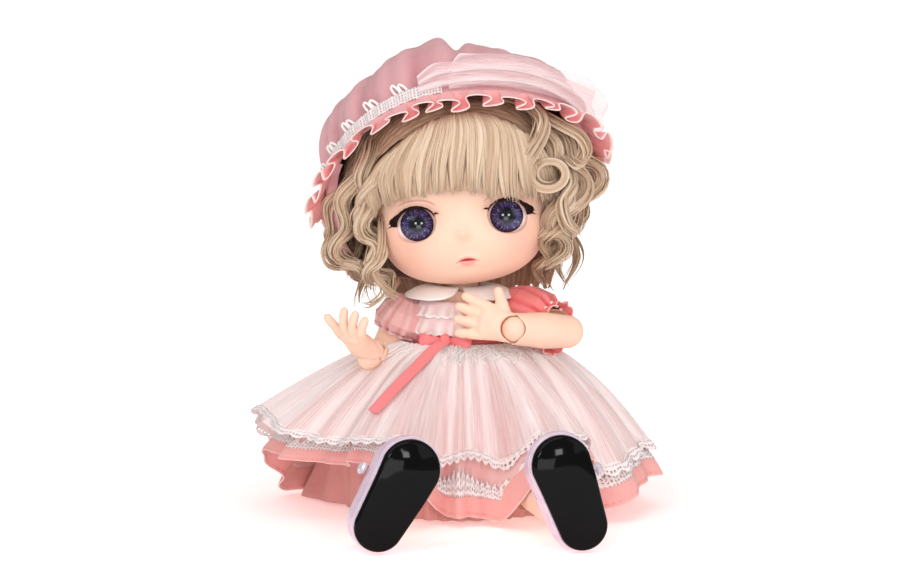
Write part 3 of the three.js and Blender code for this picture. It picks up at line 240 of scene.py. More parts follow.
def ring(angle: Array, first: Array, second: Array) -> Array:
    """Directions round an axis: the cosine along one vector and the sine along another."""
    return cos(angle)[..., None] * first + sin(angle)[..., None] * second


def turn(axis: Sequence[float], degrees: float) -> Array:
    """The matrix of a turn about an axis: the one matrix, the sine part and the versed sine part added up.

    Args:
        axis: the direction to turn about.
        degrees: how far.

    Returns:
        Three rows of three.
    """
    x, y, z = unit(np.asarray(axis, float))
    angle = math.radians(degrees)
    skew = np.array([[0, -z, y], [z, 0, -x], [-y, x, 0]])
    return np.eye(3) + math.sin(angle) * skew + (1 - math.cos(angle)) * skew @ skew


def lattice(down: Array, along: Array) -> tuple[Array, Array]:
    """Two grids: the first changes from row to row, the second from column to column."""
    return np.meshgrid(down, along, indexing="ij")


def through(points: Sequence[Sequence[float]], count: int) -> Array:
    """A smooth path through points, by a cubic whose slope at each is the chord across it.

    Args:
        points: the points to pass.
        count: the number of points on the path.

    Returns:
        The path.
    """
    knots = np.asarray(points, float)
    slope = np.gradient(knots, axis=0)
    place = linspace(0.0, len(knots) - 1.0, count)
    start = np.minimum(place.astype(int), len(knots) - 2)
    t = (place - start)[:, None]
    a, b, da, db = knots[start], knots[start + 1], slope[start], slope[start + 1]
    first = (1 + 2 * t) * (1 - t) ** 2 * a + t * (1 - t) ** 2 * da
    return first + t * t * (3 - 2 * t) * b + t * t * (t - 1) * db


def joint_place(name: str) -> Array:
    """A joint's centre in millimetres."""
    return np.array(JOINTS[name]["pos_m"], float) / MM


def profile(levels: Sequence[Sequence[float]], at: Array) -> list[Array]:
    """Values between rows of (place, value, ...), eased from row to row by the S curve.

    Args:
        levels: rows of a place and the values there, with the places rising.
        at: the places to work out.

    Returns:
        One array for each value in a row.
    """
    rows = np.asarray(levels, float)
    step = clip(np.searchsorted(rows[:, 0], at, side="right") - 1, 0, len(rows) - 2)
    low, high = rows[step], rows[step + 1]
    share = smooth((at - low[..., 0]) / (high[..., 0] - low[..., 0]))
    return [mix(low[..., k], high[..., k], share) for k in range(1, rows.shape[1])]


def run_of(path: Array) -> Array:
    """The lengths of a path's steps."""
    return np.linalg.norm(np.diff(path, axis=0), axis=-1)


@dataclass
class Patch:
    """A grid of points in millimetres, with texture coordinates and the masks that its finish reads."""

    points: Array
    uv: Array | None = None
    masks: dict[str, Array] = field(default_factory=dict)
    inside: Array | None = None

    def quads(self) -> Array:
        """The grid's faces, turned away from the inside point, or from the middle.

        Returns:
            Four point numbers for each face.
        """
        rows, columns = self.points.shape[:2]
        index = np.arange(rows * columns).reshape(rows, columns)
        faces = vec(index[:-1, :-1], index[:-1, 1:], index[1:, 1:], index[1:, :-1]).reshape(-1, 4)
        flat = self.points.reshape(-1, 3)
        corner = flat[faces]
        normal = np.cross(corner[:, 2] - corner[:, 0], corner[:, 3] - corner[:, 1])
        middle = flat.mean(0) if self.inside is None else self.inside
        facing = np.sum(normal * (corner.mean(1) - middle))
        return faces if facing >= 0 else faces[:, ::-1]

    def coordinates(self) -> Array:
        """Texture coordinates, by default millimetres along the middle row and column.

        Returns:
            Two coordinates for each point.
        """
        if self.uv is not None:
            return self.uv
        rows, columns = self.points.shape[:2]
        wide, tall = run_of(self.points[rows // 2]).sum(), run_of(self.points[:, columns // 2]).sum()
        v, u = lattice(linspace(0, tall, rows), linspace(0, wide, columns))
        return vec(u, v)


def place_mesh(name: str, patches: Sequence[Patch]) -> Piece:
    """Makes one object of several patches, with doubled points at seams and poles joined.

    Args:
        name: the object's name.
        patches: the grids to put into its mesh.

    Returns:
        The object, at the origin, with smooth shading.
    """
    counts = np.cumsum([0] + [p.points.shape[0] * p.points.shape[1] for p in patches])
    faces = np.concatenate([p.quads() + start for p, start in zip(patches, counts)])
    points = np.concatenate([p.points.reshape(-1, 3) for p in patches])
    uv = np.concatenate([p.coordinates().reshape(-1, 2) for p in patches])
    mesh = bpy.data.meshes.new(name)
    mesh.vertices.add(len(points))
    mesh.vertices.foreach_set("co", (points * MM).astype(np.float32).ravel())
    mesh.loops.add(faces.size)
    mesh.loops.foreach_set("vertex_index", faces.astype(np.int32).ravel())
    mesh.polygons.add(len(faces))
    mesh.polygons.foreach_set("loop_start", np.arange(0, faces.size, 4, dtype=np.int32))
    mesh.update(calc_edges=True)
    mesh.uv_layers.new(name="UVMap").data.foreach_set("uv", uv[faces.ravel()].astype(np.float32).ravel())
    for mask in sorted({key for p in patches for key in p.masks}):
        values = [np.broadcast_to(p.masks.get(mask, 0.0), p.points.shape[:2]).ravel() for p in patches]
        store = mesh.attributes.new(mask, "FLOAT", "POINT")
        store.data.foreach_set("value", np.concatenate(values).astype(np.float32))
    work = bmesh.new()
    work.from_mesh(mesh)
    bmesh.ops.remove_doubles(work, verts=work.verts, dist=WELD)
    work.to_mesh(mesh)
    work.free()
    shade(mesh, True)
    made = bpy.data.objects.new(name, mesh)
    bpy.context.scene.collection.objects.link(made)
    return made


def shade(mesh: bpy.types.Mesh, soft: bool) -> None:
    """Shades all faces of a mesh smooth or flat."""
    mesh.polygons.foreach_set("use_smooth", np.full(len(mesh.polygons), soft))


def settle(made: Piece) -> None:
    """Applies a piece's modifiers to its mesh.

    Args:
        made: the piece.
    """
    ready = made.evaluated_get(bpy.context.evaluated_depsgraph_get())
    old, made_mesh = made.data, bpy.data.meshes.new_from_object(ready)
    made.modifiers.clear()
    made.data = made_mesh
    bpy.data.meshes.remove(old)
    shade(made_mesh, True)


def finish_piece(made: Piece, finish: str) -> None:
    """Gives a piece one finish by name."""
    made.data.materials.clear()
    made.data.materials.append(look_of(finish))


def attach(made: Piece, body: str, slot: str, finish: str, stands_for: Sequence[str] = ()) -> Piece:
    """Gives a piece its finish, its body, its material slot and the nodes that it stands for.

    Args:
        made: the piece.
        body: the body that carries it.
        slot: the record's material slot.
        finish: the finish's name.
        stands_for: the nodes that the piece replaces.

    Returns:
        The same piece.
    """
    finish_piece(made, finish)
    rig.ride(made, body)
    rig.slot(made, slot)
    if stands_for:
        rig.replaces(made, *stands_for)
    log.info("%s: %d faces on %s", made.name, len(made.data.polygons), body)
    return made


def add_piece(
    name: str, patches: Sequence[Patch], body: str, slot: str, finish: str, stands_for: Sequence[str] = (),
    thick: float = 0.0,
) -> Piece:
    """Makes a piece of patches and attaches it; a sheet gets its thickness about its middle.

    Args:
        name: the piece's name.
        patches: its grids.
        body: the body that carries it.
        slot: the record's material slot.
        finish: the finish's name.
        stands_for: the nodes that the piece replaces.
        thick: a sheet's thickness in millimetres.

    Returns:
        The piece.
    """
    made = place_mesh(name, patches)
    if thick:
        wall = made.modifiers.new("thickness", "SOLIDIFY")
        wall.thickness, wall.offset = thick * MM, 0.0
    return attach(made, body, slot, finish, stands_for)


def dress_node(node: str, finish: str) -> None:
    """Gives a cast node that stays in view its finish."""
    finish_piece(frame["nodes"][node], finish)
    log.info("%s keeps its cast shape", node)


def sew(made: Piece, length: float, held: str, rests_on: str, pieces: Sequence[Piece] = ()) -> None:
    """Declares a sheet by its cut length; the cut's width is the mesh's own area over that length.

    Args:
        made: the sheet.
        length: the length of its cut in millimetres.
        held: how it is held.
        rests_on: what it lies on or hangs from.
        pieces: the separate pieces sewn to it.
    """
    area = float(sum(face.area for face in made.data.polygons))
    flat_length = length * MM
    width = max(area / flat_length, NARROWEST)
    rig.sheet(
        made, flat=(width, flat_length), held=held, rests_on=[rests_on], area=min(area, width * flat_length),
        with_pieces=list(pieces),
    )


def tube(
    path: Array, radius: Number, sides: int = 10, flat: float = 1.0, across: Array | None = None
) -> Patch:
    """A profile carried along a path: an ellipse in the plane across the path, closed at both ends.

    Args:
        path: the points of the middle line.
        radius: the half width, one value or one for each point.
        sides: the number of points round the ellipse.
        flat: thickness as a share of the width.
        across: the direction of the ellipse's width, one or one for each point.

    Returns:
        The tube's patch, with its length along v and its round along u.
    """
    along = unit(np.gradient(path, axis=0))
    guide = np.broadcast_to(np.array([0.31, 0.22, 0.92]) if across is None else across, path.shape)
    wide = unit(guide - along * np.sum(guide * along, -1, keepdims=True))
    deep = np.cross(along, wide)
    size = np.broadcast_to(np.asarray(radius, float), (len(path),))[:, None, None]
    angle = linspace(0, TURN, sides + 1)
    section = cos(angle)[:, None] * wide[:, None] + flat * sin(angle)[:, None] * deep[:, None]
    first, last = (np.broadcast_to(path[end], (1, sides + 1, 3)) for end in (0, -1))
    points = np.concatenate([first, path[:, None] + size * section, last])
    run = np.concatenate([[0], np.cumsum(run_of(path))])
    run = np.concatenate([run[:1], run, run[-1:]])
    v, u = lattice(run, angle * float(np.mean(radius)))
    return Patch(points, vec(u, v))


def ball(centre: Array, radius: Number, rows: int, columns: int) -> Patch:
    """A sphere or an ellipsoid from latitude and longitude."""
    up, spin = lattice(linspace(-90, 90, rows), linspace(-180, 180, columns + 1))
    return Patch(centre + aim(spin, up) * radius)


class Socket:
    """A node's output that takes part in ordinary arithmetic."""

    def __init__(self, look: "Look", output: bpy.types.NodeSocket) -> None:
        """Keeps the socket and the finish that it belongs to."""
        self.look, self.output = look, output

    def other(self, out: Any) -> "Socket":
        """Another output of the same node, by number or name."""
        return Socket(self.look, self.output.node.outputs[out])

    def _math(self, operation: str, *values: Any) -> "Socket":
        """Adds a Math node for the operation on this value and others."""
        return self.look.node("ShaderNodeMath", {"operation": operation}, self, *values)

    __add__ = __radd__ = partialmethod(_math, "ADD")
    __mul__ = __rmul__ = partialmethod(_math, "MULTIPLY")
    __sub__ = partialmethod(_math, "SUBTRACT")
    __abs__ = partialmethod(_math, "ABSOLUTE")
    sine = partialmethod(_math, "SINE")

    def __rsub__(self, other: Any) -> "Socket":
        """Difference from a number."""
        return self.look.node("ShaderNodeMath", {"operation": "SUBTRACT"}, other, self)

    def between(self, low: float, high: float) -> "Socket":
        """A soft step from 0 at low to 1 at high."""
        settings = {"interpolation_type": "SMOOTHSTEP"}
        return self.look.node("ShaderNodeMapRange", settings, self, low, high, 0.0, 1.0)


class Look:
    """A finish under construction: one method makes its nodes, and its shader comes last."""

    def __init__(self, name: str, owner: Any = None) -> None:
        """Starts an empty node tree in a new material, or in the owner that is given.

        Args:
            name: the new material's name.
            owner: a world to fill instead.
        """
        self.owner = owner or bpy.data.materials.new(name)
        self.owner.use_nodes = True
        self.tree = self.owner.node_tree
        self.tree.nodes.clear()

    def node(self, kind: str, settings: dict[str, Any], *inputs: Any, out: Any = 0, **named: Any) -> Socket:
        """Makes any node: its settings first, then its sockets.

        Args:
            kind: the node's type.
            settings: the node's own properties; the key ramp takes a list of (place, colour).
            inputs: values or links for its sockets in order, where None leaves one as it is.
            out: the number or name of the output to return.
            named: values or links by socket name, with spaces written as underscores.

        Returns:
            The chosen output.
        """
        made = self.tree.nodes.new(kind)
        for key, value in settings.items():
            if key == "ramp":
                self._stops(made.color_ramp, value)
            else:
                setattr(made, key, value)
        pairs = [(k, value) for k, value in enumerate(inputs) if value is not None]
        pairs += [(key.replace("_", " "), value) for key, value in named.items()]
        for key, value in pairs:
            self._feed(made.inputs[key], value)
        return Socket(self, made.outputs[out] if made.outputs else None)

    @staticmethod
    def _stops(ramp: bpy.types.ColorRamp, stops: Sequence[tuple[float, Triple]]) -> None:
        """Sets a ramp's stops from places and colours.

        Args:
            ramp: the ramp to set.
            stops: places and their colours.
        """
        while len(ramp.elements) < len(stops):
            ramp.elements.new(1.0)
        for element, (place, colour) in zip(ramp.elements, stops):
            element.position = place
            element.color = (*colour, 1.0)

    def _feed(self, socket: bpy.types.NodeSocket, value: Any) -> None:
        """Links a socket, or sets its value.

        Args:
            socket: the input.
            value: a socket to link, or a plain value.
        """
        if isinstance(value, Socket):
            self.tree.links.new(value.output, socket)
        elif socket.type == "RGBA" and len(value) == 3:
            socket.default_value = (*value, 1.0)
        else:
            socket.default_value = value

    def place(self) -> Socket:
        """Object coordinates in metres."""
        return self.node("ShaderNodeTexCoord", {}, out="Object")

    def uv(self) -> Socket:
        """The piece's own texture coordinates in millimetres."""
        return self.node("ShaderNodeUVMap", {"uv_map": "UVMap"})

    def mask(self, name: str) -> Socket:
        """A mask that the piece carries at its points."""
        return self.node("ShaderNodeAttribute", {"attribute_name": name}, out="Fac")

    def noise(
        self, where: Socket, scale: float, detail: float = 3.0, stretch: Triple | None = None
    ) -> Socket:
        """Cloudy values about a half, at a scale and with an optional stretch along each axis.

        Args:
            where: the coordinates.
            scale: how fine it is.
            detail: its octaves.
            stretch: a rate for each axis.

        Returns:
            The noise.
        """
        if stretch is not None:
            where = self.node("ShaderNodeVectorMath", {"operation": "MULTIPLY"}, where, stretch)
        return self.node("ShaderNodeTexNoise", {}, where, Scale=scale, Detail=detail)

    def parts(self, vector: Socket) -> tuple[Socket, Socket]:
        """The first two parts of a vector."""
        first = self.node("ShaderNodeSeparateXYZ", {}, vector)
        return first, first.other(1)

    def blend(self, share: Any, first: Any, last: Any) -> Socket:
        """A colour between two, by a share; a Mix node keeps its colours in sockets 6 and 7."""
        skipped = [None] * 5
        return self.node("ShaderNodeMix", {"data_type": "RGBA"}, share, *skipped, first, last, out=2)

    def relief(self, height: Socket, strength: float, depth: float) -> Socket:
        """A normal bent by a height, whose full step is depth in millimetres."""
        return self.node("ShaderNodeBump", {}, Strength=strength, Distance=depth * MM, Height=height)

    def finish(self, **sockets: Any) -> Material:
        """Adds the principled shader with these sockets and closes the tree."""
        self.node("ShaderNodeOutputMaterial", {}, self.node("ShaderNodeBsdfPrincipled", {}, **sockets))
        return self.owner


def srgb(red: int, green: int, blue: int) -> Triple:
    """A colour as read off a picture, in the linear values that shaders take."""
    parts = np.array([red, green, blue]) / 255.0
    return tuple(np.where(parts <= 0.04045, parts / 12.92, ((parts + 0.055) / 1.055) ** 2.4).tolist())


@dataclass(frozen=True)
class SkinFinish:
    """Matt cast resin with blush, lips and lid lines, which the face carries as masks."""

    base: Triple = srgb(250, 213, 191)
    warm: Triple = srgb(248, 203, 178)
    blush: Triple = srgb(240, 150, 132)
    lip: Triple = srgb(233, 128, 122)
    crease: Triple = srgb(150, 92, 88)
    mouth: Triple = srgb(176, 22, 40)

    def make(self, name: str) -> Material:
        """A faint mottle and pore relief, with each painted mask laid over the last.

        Args:
            name: the material's name.

        Returns:
            The material.
        """
        look = Look(name)
        where = look.place()
        colour = look.blend(look.noise(where, 60.0), self.base, self.warm)
        for mask in ("blush", "lip", "crease", "mouth"):
            colour = look.blend(look.mask(mask), colour, getattr(self, mask))
        shine = 0.5 + 0.12 * look.noise(where, 900.0) - 0.22 * look.mask("lip")
        pores = look.relief(look.noise(where, 2600.0), 0.12, 0.05)
        return look.finish(
            Base_Color=colour, Roughness=shine, Normal=pores, Subsurface_Weight=0.08, Subsurface_Scale=0.0015,
            Specular_IOR_Level=0.42,
        )


@dataclass(frozen=True)
class ClothFinish:
    """Plain woven cotton: threads, slubs, painted shade in folds and a paler sewn edge."""

    base: Triple
    # deep is the painted shade colour laid into folds and hollows
    deep: Triple
    edge: Triple
    thread: float = 0.42
    sheen: float = 0.25

    def make(self, name: str) -> Material:
        """Weave from crossed sines, slubs from a stretched noise; masks paint shade in folds and a paler edge.

        Args:
            name: the material's name.

        Returns:
            The material.
        """
        look = Look(name)
        cloth = look.uv()
        across, along = look.parts(cloth)
        pitch = TURN / self.thread
        weave = (across * pitch).sine() * (along * pitch).sine()
        slub = look.noise(cloth, 1.6, 4.0, (3.0, 0.35, 1.0))
        cloud = look.noise(cloth, 0.16)
        # the fold mask is painted shade, mixed with random tone from the noise
        tone_and_shade = look.mask("fold") * 0.75 + (cloud - 0.5) * 0.35 + (slub - 0.5) * 0.3
        colour = look.blend(tone_and_shade.between(0.0, 0.9), self.base, self.deep)
        return look.finish(
            Base_Color=look.blend(look.mask("edge"), colour, self.edge), Roughness=0.8 + 0.12 * slub,
            Normal=look.relief(weave * 0.5 + slub, 0.45, 0.12), Sheen_Weight=self.sheen, Sheen_Roughness=0.45,
            Specular_IOR_Level=0.2,
        )


@dataclass(frozen=True)
class SatinFinish:
    """Ribbon satin: a soft gloss broken by fine threads along its length."""

    base: Triple
    # deep is the painted shade colour for folds
    deep: Triple
    thread: float = 0.5

    def make(self, name: str) -> Material:
        """Long thin noise along the ribbon changes both colour and gloss; the fold mask paints shade in its folds.

        Args:
            name: the material's name.

        Returns:
            The material.
        """
        look = Look(name)
        strip = look.uv()
        across, _ = look.parts(strip)
        fine = look.noise(strip, 2.2, 3.0, (5.0, 0.25, 1.0))
        ridge = (across * (TURN / self.thread)).sine()
        # painted shade in the folds, with random tone from the noise
        tone_and_shade = look.mask("fold") * 0.8 + (fine - 0.5) * 0.5
        return look.finish(
            Base_Color=look.blend(tone_and_shade.between(0.0, 1.0), self.base, self.deep), Roughness=0.36 + 0.2 * fine,
            Normal=look.relief(ridge + fine, 0.3, 0.06), Sheen_Weight=0.3, Specular_IOR_Level=0.45,
        )


@dataclass(frozen=True)
class NetFinish:
    """Sheer netting: threads on the bias with open holes, closer where it is gathered."""

    thread: Triple
    tint: Triple
    pitch: float = 0.55
    body: float = 0.4
    glaze: float = 0.0

    def make(self, name: str) -> Material:
        """Two slanted sets of lines make the net; masks thicken it at gathers and close its edge.

        Args:
            name: the material's name.

        Returns:
            The material.
        """
        look = Look(name)
        cloth = look.uv()
        across, along = look.parts(cloth)
        rate = TURN / self.pitch
        first = abs(((across + along) * rate * 0.5).sine())
        second = abs(((across - along) * rate * 0.5).sine())
        net = 1.0 - first.between(0.0, 0.42) * second.between(0.0, 0.42)
        streak = look.noise(cloth, 0.9, 4.0, (2.4, 0.08, 1.0))
        gather = look.mask("gather")
        colour = look.blend((streak * 0.6 + gather * 0.55).between(0.15, 0.95), self.tint, self.thread)
        cover = self.body + net * 0.2 + (streak - 0.5) * 0.5 + gather * 0.3 + look.mask("edge")
        return look.finish(
            Base_Color=colour, Roughness=0.62 - self.glaze + 0.1 * streak, Alpha=cover.between(0.0, 1.0),
            Normal=look.relief(net + streak, 0.3, 0.08), Sheen_Weight=0.2, Specular_IOR_Level=0.3,
        )


@dataclass(frozen=True)
class LaceFinish:
    """Cotton lace: rows of round eyelets in a corded ground."""

    pitch: float
    thread: Triple = srgb(255, 248, 247)
    shade: Triple = srgb(248, 224, 223)
    hole: float = 0.34
    cord: float = 0.42

    def make(self, name: str) -> Material:
        """Round holes on a slanted lattice, each with a raised rim, and fine cord lines between.

        Args:
            name: the material's name.

        Returns:
            The material.
        """
        look = Look(name)
        cloth = look.uv()
        cells = look.node(
            "ShaderNodeTexVoronoi", {"distance": "EUCLIDEAN"}, cloth, Scale=1.0 / self.pitch, Randomness=0.18,
            out="Distance",
        )
        across, along = look.parts(cloth)
        rate = pi / self.cord
        cord = abs((across * rate).sine()) * abs((along * rate).sine())
        solid = cells.between(self.hole - 0.1, self.hole)
        rim = solid * (1.0 - cells.between(self.hole, self.hole + 0.22))
        colour = look.blend(cord * 0.45 + (1.0 - rim) * 0.2 + look.mask("fold"), self.thread, self.shade)
        return look.finish(
            Base_Color=colour, Roughness=0.75 + 0.1 * cord, Alpha=(solid + 0.12).between(0.0, 1.0),
            Normal=look.relief(rim * 1.5 + cord * 0.6, 0.6, 0.2), Sheen_Weight=0.3, Specular_IOR_Level=0.2,
        )


@dataclass(frozen=True)
class HairFinish:
    """Mohair wig fibre: fine strands from shadow through ash blonde to pale tips, with painted shade at roots and
    under other hair.
    """

    shadow: Triple = srgb(142, 108, 84)
    base: Triple = srgb(203, 172, 143)
    light: Triple = srgb(233, 213, 189)

    def make(self, name: str) -> Material:
        """Noise drawn out along a lock gives strands; the root mask paints shade, the tint mask varies locks.

        Args:
            name: the material's name.

        Returns:
            The material.
        """
        look = Look(name)
        lock = look.uv()
        strand = look.noise(lock, 2.4, 4.0, (3.2, 0.05, 1.0))
        fine = look.noise(lock, 6.0, 3.0, (4.0, 0.04, 1.0))
        # root is painted shade: darker under the cap and under other locks
        tone_and_shade = strand * 0.75 + fine * 0.45 + (look.mask("tint") - 0.5) * 0.5 - look.mask("root") * 0.55
        stops = [(0.16, self.shadow), (0.52, self.base), (0.86, self.light)]
        return look.finish(
            Base_Color=look.node("ShaderNodeValToRGB", {"ramp": stops}, tone_and_shade), Roughness=0.42 + 0.22 * strand,
            Normal=look.relief(strand + fine, 0.45, 0.2), Specular_IOR_Level=0.4,
        )


@dataclass(frozen=True)
class IrisFinish:
    """A glass eye: violet rays and flecks round a black pupil, with a dark rim."""

    rim: Triple = srgb(22, 14, 44)
    deep: Triple = srgb(34, 25, 62)
    ray: Triple = srgb(86, 76, 130)
    fleck: Triple = srgb(178, 172, 214)
    pupil: Triple = srgb(9, 8, 18)

    def make(self, name: str) -> Material:
        """On the iris's own disc, radius picks the ring and a stretched noise the rays.

        Args:
            name: the material's name.

        Returns:
            The material.
        """
        look = Look(name)
        disc = look.uv()
        radius = look.node("ShaderNodeVectorMath", {"operation": "LENGTH"}, disc, out="Value")
        heading = look.node("ShaderNodeVectorMath", {"operation": "NORMALIZE"}, disc)
        rays = look.noise(heading, 7.0, 4.0)
        flecks = look.noise(disc, 9.0, 2.0)
        middle = radius.between(0.36, 0.55) * (1.0 - radius.between(0.78, 0.98))
        colour = look.blend(radius.between(0.7, 0.95), self.deep, self.rim)
        colour = look.blend(((rays - 0.38) * 2.6).between(0.0, 1.0) * middle, colour, self.ray)
        colour = look.blend(flecks.between(0.6, 0.7) * middle * 0.8, colour, self.fleck)
        colour = look.blend(1.0 - radius.between(0.34, 0.52), colour, self.pupil)
        return look.finish(
            Base_Color=colour, Roughness=0.07 + 0.05 * flecks, Coat_Weight=0.4, Coat_Roughness=0.02,
            Specular_IOR_Level=0.28,
        )


@dataclass(frozen=True)
class GlossFinish:
    """A smooth moulded or painted surface: a slightly uneven colour, and its gloss."""

    base: Triple
    deep: Triple
    rough: float
    metal: float = 0.0
    coat: float = 0.0
    grain: float = 300.0
    relief: float = 0.1
    clear: float = 0.0
    gloss: float = 0.5

    def make(self, name: str) -> Material:
        """Noise varies the colour, the roughness and a shallow relief.

        Args:
            name: the material's name.

        Returns:
            The material.
        """
        look = Look(name)
        cloud = look.noise(look.place(), self.grain)
        colour = look.blend(cloud.between(0.35, 0.7) * 0.6 + look.mask("fold"), self.base, self.deep)
        return look.finish(
            Base_Color=colour, Roughness=self.rough * 0.8 + cloud * self.rough * 0.4, Metallic=self.metal,
            Coat_Weight=self.coat, Coat_Roughness=0.04, Transmission_Weight=self.clear,
            Specular_IOR_Level=self.gloss, Normal=look.relief(cloud, self.relief, 0.05),
        )


FINISHES = {
    "skin": SkinFinish(),
    "rose_cotton": ClothFinish(srgb(219, 164, 168), srgb(186, 122, 130), srgb(238, 205, 204)),
    "pink_cotton": ClothFinish(srgb(243, 176, 170), srgb(222, 118, 118), srgb(252, 214, 208)),
    "pale_pink_cotton": ClothFinish(srgb(242, 196, 192), srgb(224, 150, 148), srgb(252, 226, 222)),
    "coral_cotton": ClothFinish(srgb(246, 142, 140), srgb(226, 92, 98), srgb(252, 196, 190)),
    "petticoat_cotton": ClothFinish(srgb(224, 158, 152), srgb(198, 122, 119), srgb(240, 198, 192)),
    "bib_cotton": ClothFinish(srgb(253, 235, 232), srgb(240, 200, 200), srgb(255, 250, 248)),
    "white_cotton": ClothFinish(srgb(254, 250, 248), srgb(243, 229, 227), srgb(255, 252, 251), 0.36),
    "ruffle_cotton": ClothFinish(srgb(244, 176, 176), srgb(238, 122, 123), srgb(254, 226, 221)),
    "coral_satin": SatinFinish(srgb(247, 132, 134), srgb(226, 84, 92)),
    "tulle": NetFinish(srgb(255, 248, 247), srgb(252, 230, 228), body=0.5),
    "organza": NetFinish(srgb(253, 240, 240), srgb(246, 216, 217), pitch=0.4, body=0.36, glaze=0.2),
    "lace": LaceFinish(1.7),
    "fine_lace": LaceFinish(1.1),
    "mohair": HairFinish(),
    "iris_glass": IrisFinish(),
    "eye_white": GlossFinish(
        srgb(240, 220, 214), srgb(226, 200, 196), 0.12, coat=0.8, grain=200.0, relief=0.02
    ),
    "lash_paint": GlossFinish(srgb(34, 14, 14), srgb(20, 8, 8), 0.7, grain=900.0, relief=0.2, gloss=0.15),
    "patent_sole": GlossFinish(srgb(5, 5, 6), srgb(9, 8, 10), 0.08, grain=90.0, relief=0.02, gloss=0.12),
    "lilac_vinyl": GlossFinish(srgb(228, 206, 224), srgb(212, 184, 208), 0.34, 0.15, 0.3, 260.0),
    "clear_vinyl": GlossFinish(
        srgb(236, 232, 240), srgb(220, 214, 228), 0.08, coat=0.6, grain=500.0, clear=0.5
    ),
    "steel_wire": GlossFinish(srgb(190, 190, 194), srgb(150, 150, 156), 0.25, metal=1.0),
    "elastic_cord": GlossFinish(srgb(240, 238, 232), srgb(214, 210, 202), 0.7, grain=1500.0),
    "pearl": GlossFinish(srgb(252, 246, 242), srgb(236, 222, 220), 0.18, coat=0.5, grain=500.0),
}


@cache
def look_of(name: str) -> Material:
    """The finish of this name, made once."""
    return FINISHES[name].make(name)


